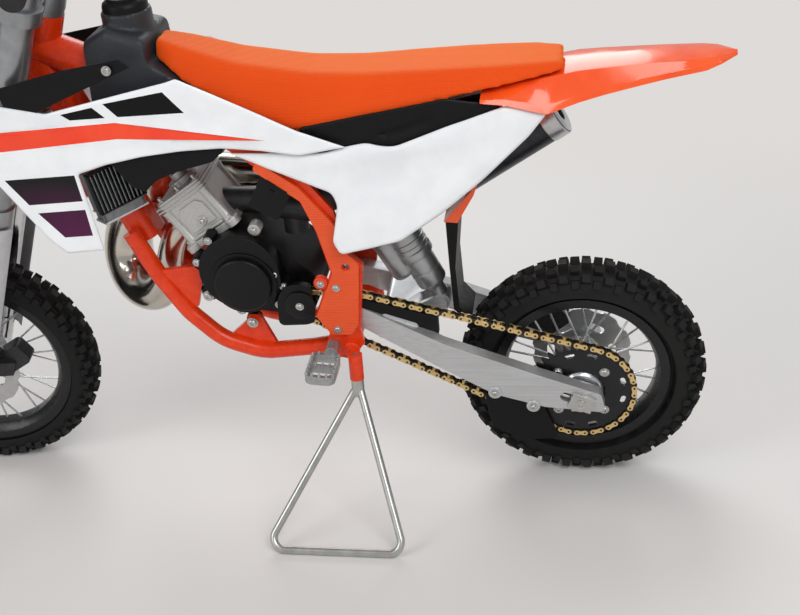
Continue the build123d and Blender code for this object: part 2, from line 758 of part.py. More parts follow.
with BuildPart() as clutch_cover:
    with BuildSketch(Plane.XZ.offset(58)):
        with Locations((500, 398)):
            Circle(60)
        with Locations((432, 372)):
            Circle(34)
        make_hull()
    extrude(amount=20)
    with BuildSketch(Plane.XZ.offset(78)):
        with Locations((500, 398)):
            Circle(44)
    extrude(amount=8)
keep("clutch_cover", clutch_cover.part)

KICK_SHAFT = (428.0, 366.0)
with BuildPart() as kick_starter:
    with BuildSketch(Plane.XZ.offset(78 + SEAT_GAP)):
        with Locations(KICK_SHAFT):
            Circle(13)
    extrude(amount=26)
    add(rod((428, -96, 366), (398, -108, 480), 7))
    add(rod((398, -101, 480), (398, -158, 480), 7.5))
keep("kick_starter", kick_starter.part)

# The cylinder leans forward; its axis starts at the crankshaft.
CYLINDER_TILT = 33.0
cylinder_plane = Plane(
    origin=(512, 0, 406),
    x_dir=(0, 1, 0),
    z_dir=(math.sin(math.radians(CYLINDER_TILT)), 0, math.cos(math.radians(CYLINDER_TILT))),
)
with BuildPart() as cylinder:
    with BuildSketch(cylinder_plane.offset(66 + SEAT_GAP)):
        RectangleRounded(96, 92, 10)
    extrude(amount=12)
    with BuildSketch(cylinder_plane.offset(78)):
        RectangleRounded(88, 82, 14)
    extrude(amount=62)
    with BuildSketch(cylinder_plane.offset(140)):
        RectangleRounded(94, 88, 12)
    extrude(amount=16)
    with BuildSketch(cylinder_plane.offset(156)):
        Circle(24)
    extrude(amount=10)
keep("cylinder", cylinder.part)

with BuildPart() as airbox:
    with BuildSketch(Plane.XZ.offset(-44)):
        with BuildLine():
            Polyline((284, 544), (284, 588), (236, 602), (134, 624), (162, 548), (236, 536), close=True)
        make_face()
        fillet(vertices(), radius=8)
    extrude(amount=80)
keep("airbox", airbox.part)

with BuildPart() as carburettor:
    add(rod((545, 0, 503), (462, 0, 500), 20))
    add(rod((462, 0, 500), (398, 0, 492), 27))
    add(rod((432, 0, 545), (432, 0, 450), 19))
    add(rod((404, 0, 492), (344, 34, 530), 22))
    add(rod((348, 34, 528), (284 + SEAT_GAP, 34, 560), 14))
    add(cylinder.part, mode=Mode.SUBTRACT)
    add(airbox.part, mode=Mode.SUBTRACT)
keep("carburettor", carburettor.part)

with BuildPart() as ignition_coil:
    coil_plane = Plane(origin=(446, 46, 538), x_dir=(0.86, 0, 0.5), z_dir=(0, 1, 0))
    with BuildSketch(coil_plane):
        RectangleRounded(50, 56, 6)
    extrude(amount=26)
    # tab that bolts to the frame plate
    with BuildSketch(coil_plane.offset(18)):
        with Locations((0, -30)):
            RectangleRounded(24, 30, 4)
    extrude(amount=PLATE_INNER_Y - SEAT_GAP - 64)
keep("ignition_coil", ignition_coil.part)

# ---------------------------------------------------------------- exhaust
SILENCER_R = 33.0
SILENCER_FRONT = Vector(252, -98, 447)
SILENCER_REAR = Vector(30, -98, 588)
SILENCER_DIR = (SILENCER_REAR - SILENCER_FRONT).normalized()
PIPE_STATIONS = [
    ((603, 0, 466), 19),
    ((622, 0, 450), 20),
    ((640, -1, 420), 21),
    ((653, -6, 384), 23),
    ((674, -18, 344), 29),
    ((704, -40, 319), 36),
    ((738, -68, 322), 41),
    ((757, -92, 358), 41),
    ((746, -98, 408), 39),
    ((708, -93, 460), 36),
    ((648, -91, 494), 34),
    ((570, -90, 508), 31),
    ((490, -80, 508), 23),
    ((412, -60, 496), 15),
    ((342, -60, 474), 13),
    ((292, -78, 452), 13),
    (SILENCER_FRONT - SILENCER_DIR * SEAT_GAP, 13),
]
with BuildPart() as exhaust_pipe:
    last = len(PIPE_STATIONS) - 1
    for index, (centre, radius) in enumerate(PIPE_STATIONS):
        before = Vector(*PIPE_STATIONS[max(index - 1, 0)][0])
        after = Vector(*PIPE_STATIONS[min(index + 1, last)][0])
        heading = SILENCER_DIR if index == last else after - before
        with BuildSketch(Plane(origin=centre, z_dir=heading)):
            Circle(radius)
    loft()
keep("exhaust_pipe", exhaust_pipe.part)

with BuildPart() as silencer:
    silencer_length = (SILENCER_REAR - SILENCER_FRONT).length
    silencer_plane = Plane(origin=SILENCER_FRONT, z_dir=SILENCER_DIR)
    with BuildSketch(silencer_plane):
        Circle(18)
    with BuildSketch(silencer_plane.offset(24)):
        Circle(SILENCER_R)
    loft()
    with BuildSketch(silencer_plane.offset(24)):
        Circle(SILENCER_R)
    extrude(amount=silencer_length - 24)
    with BuildSketch(silencer_plane.offset(silencer_length)):
        Circle(12)
    extrude(amount=-30, mode=Mode.SUBTRACT)
keep("silencer", silencer.part)

# ---------------------------------------------------------------- radiator
radiator_plane = Plane(origin=(686, 65, 570), x_dir=(0.662, 0.743, -0.1), z_dir=(0.16, -0.01, 0.987))
with BuildPart() as radiator:
    with BuildSketch(radiator_plane.offset(-33)):
        RectangleRounded(74, 30, 4)
    extrude(amount=59)
    with BuildSketch(radiator_plane.offset(-53)):
        RectangleRounded(72, 34, 8)
    extrude(amount=20)
    # tabs on the down tube
    add(rod((688, 62, 582), (718, 20, 582), 5))
    add(rod((680, 60, 530), (700, 20, 530), 5))
    add(down_tube.part, mode=Mode.SUBTRACT)
keep("radiator", radiator.part)

# ---------------------------------------------------------------- shock
with BuildPart() as shock_absorber:
    shock_dir = SHOCK_HEAD - SHOCK_FOOT
    shock_plane = Plane(origin=SHOCK_FOOT, z_dir=shock_dir)
    with BuildSketch(Plane.XZ.offset(-SHOCK_FOOT_HALF)):
        with Locations((SHOCK_FOOT.X, SHOCK_FOOT.Z)):
            Circle(13)
    extrude(amount=2 * SHOCK_FOOT_HALF)
    with BuildSketch(shock_plane.offset(8)):
        Circle(13)
    extrude(amount=16)
    with BuildSketch(shock_plane.offset(24)):
        Circle(24)
    extrude(amount=60)
    with BuildSketch(shock_plane.offset(84)):
        Circle(29)
    extrude(amount=22)
    with BuildSketch(shock_plane.offset(106)):
        Circle(27)
    extrude(amount=shock_dir.length - 124)
    with BuildSketch(shock_plane.offset(shock_dir.length - 20)):
        Circle(11)
    extrude(amount=16)
    with BuildSketch(Plane.XZ.offset(-SHOCK_EYE_HALF)):
        with Locations((SHOCK_HEAD.X, SHOCK_HEAD.Z)):
            Circle(14)
    extrude(amount=2 * SHOCK_EYE_HALF)
    # reservoir on a short neck
    add(rod((268, 10, 372), (318, 10, 468), 18))
    add(rod((290, 10, 400), (262, 0, 412), 10))
keep("shock_absorber", shock_absorber.part)

# ---------------------------------------------------------------- bodywork
# Seat: cross-sections along the bike, wide skirts and a rounded top.
SEAT_FOOT_X = 390.0
SEAT_FOOT_LOW = 604.0
SEAT_FOOT_TOP = 664.0
SEAT_SECTIONS = [
    (20, 706, 717, 44, 38),
    (62, 700, 718, 58, 46),
    (150, 686, 717, 70, 52),
    (225, 672, 715, 75, 52),
    (300, 659, 713, 77, 50),
    (372, 644, 716, 77, 49),
    (400, 645, 720, 76, 48),
    (480, 680, 734, 70, 44),
    (550, 714, 756, 56, 36),
    (590, 744, 768, 36, 24),
]
with BuildPart() as seat:
    for x, low, high, half_low, half_high in SEAT_SECTIONS:
        with BuildSketch(Plane.YZ.offset(x)):
            with BuildLine():
                Polyline((-half_low, low), (half_low, low), (half_high, high), (-half_high, high), close=True)
            make_face()
            fillet(vertices().group_by(Axis.Y)[-1], radius=0.45 * min(high - low, half_high))
    loft(ruled=True)
    # rubber feet on the subframe rails
    for side in (-1, 1):
        with BuildSketch(Plane.XY.offset(SEAT_FOOT_LOW)):
            with Locations((SEAT_FOOT_X, side * RAIL_Y)):
                Circle(8)
        extrude(amount=SEAT_FOOT_TOP - SEAT_FOOT_LOW)
        rail_front = (480, side * RAIL_Y, 618)
        rail_knee = (RAIL_KNEE[0], side * RAIL_Y, RAIL_KNEE[1])
        add(rod(rail_front, rail_knee, RAIL_R + SEAT_GAP), mode=Mode.SUBTRACT)
keep("seat", seat.part)

# Fuel tank: sits astride the backbone, with a raised neck for the cap.
TANK_SECTIONS = [
    (508, 604, 704, 66, 50),
    (545, 592, 728, 74, 56),
    (600, 588, 778, 80, 58),
    (650, 598, 792, 80, 52),
    (690, 618, 772, 70, 42),
]
TANK_CAP = Vector(632, 0, 806)
TANK_TUNNEL_HALF = BACKBONE_HALF + 4
with BuildPart() as fuel_tank:
    for x, low, high, half_low, half_high in TANK_SECTIONS:
        with BuildSketch(Plane.YZ.offset(x)):
            with BuildLine():
                Polyline((-half_low, low), (half_low, low), (half_high, high), (-half_high, high), close=True)
            make_face()
            fillet(vertices(), radius=12)
    loft(ruled=True)
    with BuildSketch(Plane.XY.offset(760)):
        with Locations((TANK_CAP.X, TANK_CAP.Y)):
            Circle(36)
    extrude(amount=TANK_CAP.Z - 760)
    # tunnel over the backbone, which carries the tank
    roof_rise = (BACKBONE_R + SEAT_GAP) * backbone_run.length / abs(backbone_run.X)
    roof_end = BACKBONE_END[2] + roof_rise
    roof_start = backbone_start.Z + roof_rise
    with BuildSketch(Plane.XZ.offset(-TANK_TUNNEL_HALF)):
        with BuildLine():
            Polyline(
                (BACKBONE_END[0], roof_end),
                (backbone_start.X, roof_start),
                (backbone_start.X, 560),
                (BACKBONE_END[0], 560),
                close=True,
            )
        make_face()
    extrude(amount=2 * TANK_TUNNEL_HALF, mode=Mode.SUBTRACT)
    # flat under the seat's nose
    with BuildSketch(Plane.XZ.offset(-100)):
        with BuildLine():
            Polyline((470, 673), (550, 713), (594, 744), (594, 830), (470, 830), close=True)
        make_face()
    extrude(amount=200, mode=Mode.SUBTRACT)
keep("fuel_tank", fuel_tank.part)

with BuildPart() as fuel_cap:
    with BuildSketch(Plane.XY.offset(TANK_CAP.Z + SEAT_GAP)):
        with Locations((TANK_CAP.X, TANK_CAP.Y)):
            Circle(31)
    extrude(amount=14)
    chamfer(fuel_cap.faces().sort_by(Axis.Z)[-1].edges(), length=3)
keep("fuel_cap", fuel_cap.part)


def body_panel(outline, plan, wall, tilt, low, high):
    """A curved plastic panel: a bent wall cut to its outline in side view."""
    with BuildPart() as panel:
        with BuildSketch(Plane.XY.offset(low)):
            with BuildLine():
                Spline(*plan)
                Line(plan[-1], (plan[-1][0], plan[-1][1] - wall))
                Spline(*[(x, y - wall) for x, y in reversed(plan)])
                Line((plan[0][0], plan[0][1] - wall), plan[0])
            make_face()
        extrude(amount=(high - low) / math.cos(math.atan(tilt)), dir=(0, -tilt, 1))
        with BuildSketch(Plane.XZ.offset(-300)):
            with BuildLine():
                Polyline(*outline, close=True)
            make_face()
            fillet(vertices(), radius=3)
        extrude(amount=300, mode=Mode.INTERSECT)
    return panel.part


SHROUD_WALL = 3.0
SHROUD_LOW = 470.0
SHROUD_TILT = 0.12          # the panels lean in towards the top
SHROUD_PLAN = [(300, 118), (400, 120), (520, 123), (700, 138), (800, 150), (890, 157)]
SHROUD_OUTLINE = [
    (318, 627),
    (384, 652),
    (546, 732),
    (560, 728),
    (736, 696),
    (800, 712),
    (872, 712),
    (858, 660),
    (826, 602),
    (766, 511),
    (744, 488),
    (689, 489),
    (706, 606),
    (598, 628),
    (496, 628),
    (385, 617),
]
shroud_left = body_panel(SHROUD_OUTLINE, SHROUD_PLAN, SHROUD_WALL, SHROUD_TILT, SHROUD_LOW, 760)
keep("shroud_left", shroud_left)
keep("shroud_right", mirror(shroud_left, about=Plane.XZ))

# Brackets bolted to the tank's sides, which carry the shrouds.
BRACKET_PLAN = [(x, y - SHROUD_WALL - SEAT_GAP) for x, y in SHROUD_PLAN]
BRACKET_OUTLINE = [(600, 700), (607, 764), (705, 753), (799, 735), (790, 704), (736, 684), (640, 690)]
bracket_left = body_panel(BRACKET_OUTLINE, BRACKET_PLAN, SHROUD_WALL, SHROUD_TILT, SHROUD_LOW, 790)
with BuildPart() as tank_brackets:
    add(bracket_left)
    with BuildSketch(Plane.XZ.offset(-97.5)):
        with Locations((630, 712)):
            Circle(9)
    extrude(amount=60)
    mirror(about=Plane.XZ)
    add(fuel_tank.part, mode=Mode.SUBTRACT)
keep("tank_brackets", tank_brackets.part)

PANEL_PLAN = [(20, 82), (80, 92), (160, 104), (260, 110), (360, 110), (500, 106)]
PANEL_LOW = 440.0
PANEL_HIGH = 720.0
PANEL_TILT = 0.08
PANEL_TOP = [
    (492, 618), (354, 617), (316, 626), (291, 630), (270, 625), (251, 624), (178, 648), (98, 670), (43, 654),
]
LEFT_PANEL_FOOT = [
    (68, 624), (134, 566), (192, 521), (255, 480), (344, 460), (354, 480), (341, 537), (348, 556),
]
RIGHT_PANEL_FOOT = [(66, 634), (110, 628), (170, 586), (254, 532), (322, 510), (348, 556)]
side_panel_left = body_panel(
    PANEL_TOP + LEFT_PANEL_FOOT, PANEL_PLAN, SHROUD_WALL, PANEL_TILT, PANEL_LOW, PANEL_HIGH
)
keep("side_panel_left", side_panel_left)
# The right panel is cut higher to clear the silencer.
side_panel_right = body_panel(
    PANEL_TOP + RIGHT_PANEL_FOOT, PANEL_PLAN, SHROUD_WALL, PANEL_TILT, PANEL_LOW, PANEL_HIGH
)
keep("side_panel_right", mirror(side_panel_right, about=Plane.XZ))

# Black infill between the seat's skirt and the side panels, one on each side.
COVER_OUTLINE = [
    (384, 652),
    (297, 667),
    (179, 685),
    (106, 671),
    (106, 660),
    (182, 636),
    (280, 588),
    (384, 588),
]
COVER_PLAN = [(x, y - SHROUD_WALL - SEAT_GAP) for x, y in PANEL_PLAN]
COVER_BOSS_R = 6.0
COVER_BOSS_LENGTH = 31.8
cover_left = body_panel(COVER_OUTLINE, COVER_PLAN, SHROUD_WALL, PANEL_TILT, PANEL_LOW, PANEL_HIGH)
with BuildPart() as seat_covers:
    add(cover_left)
    # bosses on the subframe rail
    for boss_x in (245, 280):
        with BuildSketch(Plane.XZ.offset(-(RAIL_Y + RAIL_R + SEAT_GAP))):
            with Locations((boss_x, RAIL_KNEE[1] + max(0, RAIL_KNEE[0] - boss_x) * RAIL_RISE)):
                Circle(COVER_BOSS_R)
        extrude(amount=-COVER_BOSS_LENGTH)
    mirror(about=Plane.XZ)
keep("seat_covers", seat_covers.part)

# Rear fender: a creased shell that rises to the tail, on the upright bike.
# Each section is (x, lip height, lip, fold height, fold, crease height, crease), with the
# lip, fold and crease half as wide as the shell is there.
FENDER_SECTIONS = [
    (132, 678.5, 82, 682, 78, 683, 46),
    (98, 672, 76, 679, 71, 688, 46),
    (43, 655.5, 71, 665, 66, 698, 44),
    (-1, 668, 62, 677, 58, 705, 42),
    (-34, 675, 56, 684, 53, 707, 40),
    (-81, 684, 50, 692, 47, 709, 36),
    (-116, 690, 45, 697, 43, 710, 34),
    (-166, 698, 41, 705, 39, 711, 30),
    (-186, 704, 34, 708, 32, 711.5, 22),
    (-209, 706.5, 8, 708, 7, 709.5, 5),
]
FENDER_WALL = 3.0
with BuildPart() as rear_fender:
    for x, lip, half_lip, fold, half_fold, crease, half_crease in FENDER_SECTIONS:
        outer = [(half_lip, lip), (half_fold, fold), (half_crease, crease), (0, crease + 2)]
        wall = min(FENDER_WALL, 0.3 * half_lip)
        inner = [(half_lip - wall, lip), (half_fold - wall, fold - 1), (half_crease - 1, crease - wall)]
        with BuildSketch(Plane.YZ.offset(x)):
            with BuildLine():
                Polyline(
                    *outer,
                    *[(-y, z) for y, z in reversed(outer[:-1])],
                    *[(-y, z) for y, z in inner],
                    (0, crease + 2 - wall),
                    *reversed(inner),
                    close=True,
                )
            make_face()
    loft(ruled=True)
    # neck that joins the shell to the inner section
    with BuildSketch(Plane.XZ.offset(-42)):
        with BuildLine():
            Polyline((114, 648), FENDER_NECK, (60, 694), (52, 689), (104, 660), (106, 645), close=True)
        make_face()
    extrude(amount=84)
    # inner section that comes down between the side panels
    with BuildSketch(Plane.XZ.offset(-58)):
        with BuildLine():
            Polyline(
                FENDER_NECK, (104, 662), (106, 656), (150, 530), (176, 486), (196, 488), FENDER_THROAT,
                close=True,
            )
        make_face()
    extrude(amount=116)
keep("rear_fender", rear_fender.part)

with BuildPart() as mud_flap:
    with BuildSketch(Plane.XZ.offset(-40)):
        with BuildLine():
            Polyline(
                (196, 487.7), (176, 485.7), (186, 400), (184, 330), (166, 308), (172, 304), (193, 326), (195, 400),
                close=True,
            )
        make_face()
    extrude(amount=80)
keep("mud_flap", mud_flap.part)

# ---------------------------------------------------------------- brakes and pegs
with BuildPart() as rear_caliper:
    with BuildSketch(Plane.XZ.offset(28)):
        with Locations((54, 258)):
            RectangleRounded(66, 44, 10, rotation=-38)
    extrude(amount=34)
    with BuildSketch(Plane.XZ.offset(REAR_AXLE[1] - REAR_DISC_Y - DISC_THICK / 2 - 1.5)):
        with Locations((REAR_AXLE[0], REAR_AXLE[2])):
            Circle(DISC_R + 3)
    extrude(amount=DISC_THICK + 3, mode=Mode.SUBTRACT)
    # boss on the swingarm
    with BuildSketch(Plane.XZ.offset(53)):
        with Locations((56, 232)):
            Circle(9)
    extrude(amount=ARM_INNER_Y - SEAT_GAP - 53)
keep("rear_caliper", rear_caliper.part)

with BuildPart() as footpegs:
    with BuildSketch(Plane(origin=(386, 104, 288), x_dir=(0.95, 0, 0.1), z_dir=(0.1, 0, -0.95))):
        with Locations((0, -32)):
            RectangleRounded(46, 66, 12)
            RectangleRounded(34, 52, 8, mode=Mode.SUBTRACT)
            Rectangle(46, 5)
    extrude(amount=14)
    with BuildSketch(Plane.XZ.offset(-(PLATE_INNER_Y + PLATE_THICK + SEAT_GAP))):
        with Locations(PEG_ROOT):
            Circle(10)
    extrude(amount=-26)
    mirror(about=Plane.XZ)
keep("footpegs", footpegs.part)

# ---------------------------------------------------------------- front end
with BuildPart() as fork_tubes:
    with BuildSketch(Plane.XY.offset(FORK_TUBE_LOW)):
        with Locations((CLAMP_OFFSET, FORK_HALF)):
            Circle(FORK_BELL_R)
    extrude(amount=52)
    with BuildSketch(Plane.XY.offset(FORK_TUBE_LOW + 52)):
        with Locations((CLAMP_OFFSET, FORK_HALF)):
            Circle(FORK_TUBE_R)
    extrude(amount=FORK_TUBE_HIGH - FORK_TUBE_LOW - 52)
    with BuildSketch(Plane.XY.offset(FORK_TUBE_LOW)):
        with Locations((CLAMP_OFFSET, FORK_HALF)):
            Circle(SLIDER_R + SEAT_GAP)
    extrude(amount=FORK_TUBE_HIGH - FORK_TUBE_LOW - 12, mode=Mode.SUBTRACT)
    mirror(about=Plane.XZ)
keep_front("fork_tubes", fork_tubes.part)

with BuildPart() as fork_sliders:
    with BuildSketch(Plane.XY):
        with Locations((CLAMP_OFFSET, FORK_HALF)):
            Circle(SLIDER_R)
    extrude(amount=FORK_TUBE_LOW + 130)
    with BuildSketch(Plane.XY.offset(-20)):
        with Locations((CLAMP_OFFSET, FORK_HALF)):
            Circle(SLIDER_FOOT_R)
    extrude(amount=76)
    with BuildSketch(Plane.XZ.offset(-LUG_INNER_Y)):
        with Locations((FORK_OFFSET, 0)):
            Circle(19)
        with Locations((CLAMP_OFFSET, 0)):
            Circle(17)
        make_hull()
    extrude(amount=-(LUG_OUTER_Y - LUG_INNER_Y))
    with BuildSketch(Plane.XZ.offset(-LUG_OUTER_Y)):
        with Locations((FORK_OFFSET, 0)):
            Circle(AXLE_R + RUNNING_GAP)
    extrude(amount=LUG_OUTER_Y - LUG_INNER_Y, mode=Mode.SUBTRACT)
    mirror(about=Plane.XZ)
keep_front("fork_sliders", fork_sliders.part)

# Fork guards: plastic shields in front of the sliders.
GUARD_R = 31.0
with BuildPart() as fork_guards:
    with BuildSketch(Plane.XY.offset(24)):
        with Locations((CLAMP_OFFSET, FORK_HALF)):
            Circle(GUARD_R + 2.5)
            Circle(GUARD_R, mode=Mode.SUBTRACT)
        with Locations((CLAMP_OFFSET - 30, FORK_HALF - 30)):
            Rectangle(110, 60, rotation=45, mode=Mode.SUBTRACT)
    extrude(amount=316)
    with BuildSketch(Plane.XY.offset(24)):
        with Locations((CLAMP_OFFSET + 26, FORK_HALF)):
            Rectangle(12, 14)
    extrude(amount=22)
    mirror(about=Plane.XZ)
keep_front("fork_guards", fork_guards.part)

CLAMP_LEG_R = 32.0
CLAMP_STEM_R = 27.0
CLAMP_ARM_REAR = -4.0       # the arms pass ahead of the frame at full lock
CLAMP_ARM_DEPTH = CLAMP_OFFSET + CLAMP_LEG_R - CLAMP_ARM_REAR
with BuildPart() as triple_clamps:
    for low, high in (LOWER_CLAMP, UPPER_CLAMP):
        with BuildSketch(Plane.XY.offset(low)):
            with Locations((CLAMP_OFFSET, FORK_HALF), (CLAMP_OFFSET, -FORK_HALF)):
                Circle(CLAMP_LEG_R)
            with Locations((CLAMP_ARM_REAR + CLAMP_ARM_DEPTH / 2, 0)):
                Rectangle(CLAMP_ARM_DEPTH, 2 * FORK_HALF)
            Circle(CLAMP_STEM_R)
        extrude(amount=high - low)
    with BuildSketch(Plane.XY.offset(LOWER_CLAMP[0])):
        Circle(STEM_R)
    extrude(amount=UPPER_CLAMP[0] - LOWER_CLAMP[0] + 2)
    # bearing covers at both ends of the head tube
    with BuildSketch(Plane.XY.offset(HEAD_TUBE_HIGH + SEAT_GAP)):
        Circle(26)
    extrude(amount=UPPER_CLAMP[0] - HEAD_TUBE_HIGH - SEAT_GAP)
    with BuildSketch(Plane.XY.offset(LOWER_CLAMP[1])):
        Circle(24)
    extrude(amount=HEAD_TUBE_LOW - LOWER_CLAMP[1] - SEAT_GAP)
    with BuildSketch(Plane.XY.offset(LOWER_CLAMP[0])):
        with Locations((CLAMP_OFFSET, FORK_HALF), (CLAMP_OFFSET, -FORK_HALF)):
            Circle(FORK_TUBE_R + SEAT_GAP)
    extrude(amount=UPPER_CLAMP[1] - LOWER_CLAMP[0], mode=Mode.SUBTRACT)
    # bar mounts
    with BuildSketch(Plane.XY.offset(UPPER_CLAMP[1])):
        with Locations((12, 28), (12, -28)):
            RectangleRounded(28, 20, 5)
    extrude(amount=BAR_RISE + 14)
    with BuildSketch(Plane.XZ.offset(-60)):
        with Locations((12, UPPER_CLAMP[1] + BAR_RISE)):
            Circle(BAR_R + SEAT_GAP)
    extrude(amount=120, mode=Mode.SUBTRACT)
keep_front("triple_clamps", triple_clamps.part)

BAR_Z = UPPER_CLAMP[1] + BAR_RISE
BAR_MIDDLE_HALF = 50.0
BAR_POINTS = [
    (-32, HANDLEBAR_HALF, BAR_Z + 62),
    (-8, 168, BAR_Z + 56),
    (12, 96, BAR_Z),
    (12, BAR_MIDDLE_HALF, BAR_Z),
]
with BuildPart() as handlebar:
    with BuildSketch(Plane.XZ.offset(-BAR_MIDDLE_HALF)):
        with Locations((BAR_POINTS[-1][0], BAR_Z)):
            Circle(BAR_R)
    extrude(amount=BAR_MIDDLE_HALF)
    add(bent_tube(BAR_POINTS, BAR_R, 38))
    mirror(about=Plane.XZ)
keep_front("handlebar", handlebar.part)

GRIP_LENGTH = 112.0
with BuildPart() as grips:
    bar_end = Vector(*BAR_POINTS[0])
    bar_in = (Vector(*BAR_POINTS[1]) - bar_end).normalized()
    with BuildSketch(Plane(origin=bar_end - bar_in * 4, z_dir=bar_in)):
        Circle(GRIP_R)
    extrude(amount=GRIP_LENGTH)
    with BuildSketch(Plane(origin=bar_end + bar_in * (GRIP_LENGTH - 10), z_dir=bar_in)):
        Circle(23)
    extrude(amount=6)
    with BuildSketch(Plane(origin=bar_end, z_dir=bar_in)):
        Circle(BAR_R + SEAT_GAP)
    extrude(amount=GRIP_LENGTH, mode=Mode.SUBTRACT)
    mirror(about=Plane.XZ)
keep_front("grips", grips.part)

# Brake lever and its master cylinder on each side.
with BuildPart() as levers:
    perch = bar_end + bar_in * (GRIP_LENGTH + 14)
    with BuildSketch(Plane(origin=perch, z_dir=bar_in)):
        Circle(BAR_R + 7)
        Circle(BAR_R + SEAT_GAP, mode=Mode.SUBTRACT)
    extrude(amount=16)
    with BuildSketch(Plane(origin=(perch.X + 18, perch.Y + 6, perch.Z - 12), z_dir=(0, 0, 1))):
        with Locations((14, -18)):
            RectangleRounded(26, 50, 6)
    extrude(amount=30)
    add(rod((perch.X + 34, perch.Y - 4, perch.Z), (perch.X + 52, perch.Y + 40, perch.Z), 5))
    add(rod((perch.X + 52, perch.Y + 38, perch.Z), (perch.X + 34, perch.Y + 108, perch.Z + 2), 4.5))
    mirror(about=Plane.XZ)
keep_front("levers", levers.part)

with BuildPart() as front_caliper:
    with BuildSketch(Plane.XZ.offset(-22)):
        with Locations((FORK_OFFSET - 62, 52)):
            RectangleRounded(40, 62, 9, rotation=38)
    extrude(amount=-28)
    with BuildSketch(Plane.XZ.offset(-(FRONT_DISC_Y - DISC_THICK / 2 - 1.5))):
        with Locations((FORK_OFFSET, 0)):
            Circle(DISC_R + 3)
    extrude(amount=-(DISC_THICK + 3), mode=Mode.SUBTRACT)
    # bracket on the left slider
    with BuildSketch(Plane.XY.offset(26)):
        with BuildLine():
            Polyline((-36, 45), (-36, 54), (2, FORK_HALF), (14, FORK_HALF - 16), (-4, 45), close=True)
        make_face()
        with Locations((CLAMP_OFFSET, FORK_HALF)):
            Circle(SLIDER_FOOT_R + SEAT_GAP, mode=Mode.SUBTRACT)
    extrude(amount=28)
keep_front("front_caliper", front_caliper.part)

# Front fender: a creased shell in the front end's frame, bolted under the lower clamp.
FRONT_FENDER_SECTIONS = [
    (-104, 392, 26, 398),
    (-60, 440, 30, 448),
    (0, 470, 34, 480),
    (60, 452, 44, 464),
    (140, 410, 62, 426),
    (230, 364, 60, 380),
    (310, 318, 44, 330),
    (340, 300, 26, 308),
]
with BuildPart() as front_fender:
    for x, low, half, high in FRONT_FENDER_SECTIONS:
        with BuildSketch(Plane.YZ.offset(x)):
            with BuildLine():
                Polyline(
                    (-half, low),
                    (-half * 0.6, high),
                    (half * 0.6, high),
                    (half, low),
                    (half - 2, low - 4),
                    (half * 0.6 - 1, high - 4),
                    (1 - half * 0.6, high - 4),
                    (2 - half, low - 4),
                    close=True,
                )
            make_face()
    loft(ruled=True)
    # pad under the lower clamp
    with BuildSketch(Plane.XY.offset(474)):
        with Locations((8, 0)):
            RectangleRounded(50, 34, 6)
    extrude(amount=LOWER_CLAMP[0] - SEAT_GAP - 474)
keep_front("front_fender", front_fender.part)

with BuildPart() as number_plate:
    with BuildSketch(Plane.YZ.offset(CLAMP_OFFSET + 40)):
        with BuildLine():
            Polyline(
                (-56, 560), (56, 560), (88, 640), (80, 752), (40, 780), (-40, 780), (-80, 752), (-88, 640),
                close=True,
            )
        make_face()
        fillet(vertices(), radius=10)
    extrude(amount=4)
    # strap round the upper clamp's front
    with BuildSketch(Plane.YZ.offset(CLAMP_OFFSET + CLAMP_LEG_R + SEAT_GAP)):
        with Locations((0, 690)):
            RectangleRounded(40, 22, 4)
    extrude(amount=8)
keep_front("number_plate", number_plate.part)

# ---------------------------------------------------------------- stand
# The stand is drawn where it stands: on the floor, not on the leaned bike.
apex = Vector(*STAND_APEX)
foot_front = Vector(*STAND_FOOT_FRONT, STAND_ROD_R)
foot_rear = Vector(*STAND_FOOT_REAR, STAND_ROD_R)
with BuildPart() as plug_stand:
    with BuildLine() as loop:
        FilletPolyline(apex + Vector(3, 0, 0), foot_front, foot_rear, apex + Vector(-3, 0, 0), radius=18)
    with BuildSketch(Plane(origin=loop.line @ 0, z_dir=loop.line % 0)):
        Circle(STAND_ROD_R)
    sweep(path=loop.line)
    # collar under the socket, and the plug that stands in it
    with BuildSketch(Plane(origin=apex - Vector(0, 0, 12))):
        Circle(STAND_COLLAR_R)
    extrude(amount=12 + STAND_COLLAR_TOP - SEAT_GAP)
    with BuildSketch(Plane(origin=apex)):
        Circle(STAND_ROD_R)
    extrude(amount=STAND_COLLAR_TOP + SOCKET_LENGTH)
finished["plug_stand"] = plug_stand.part

# ---------------------------------------------------------------- write the parts
boxes = [shape.bounding_box() for shape in finished.values()]
CENTRE_SHIFT = Vector(
    -(min(box.min.X for box in boxes) + max(box.max.X for box in boxes)) / 2,
    -(min(box.min.Y for box in boxes) + max(box.max.Y for box in boxes)) / 2,
    0,
)
for name, shape in finished.items():
    placed = shape.moved(Location(CENTRE_SHIFT))
    placed.label = name
    export_step(placed, f"parts/{name}.step")
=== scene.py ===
import json
import math

import bmesh
import bpy
from mathutils import Matrix, Vector
from mathutils.geometry import delaunay_2d_cdt


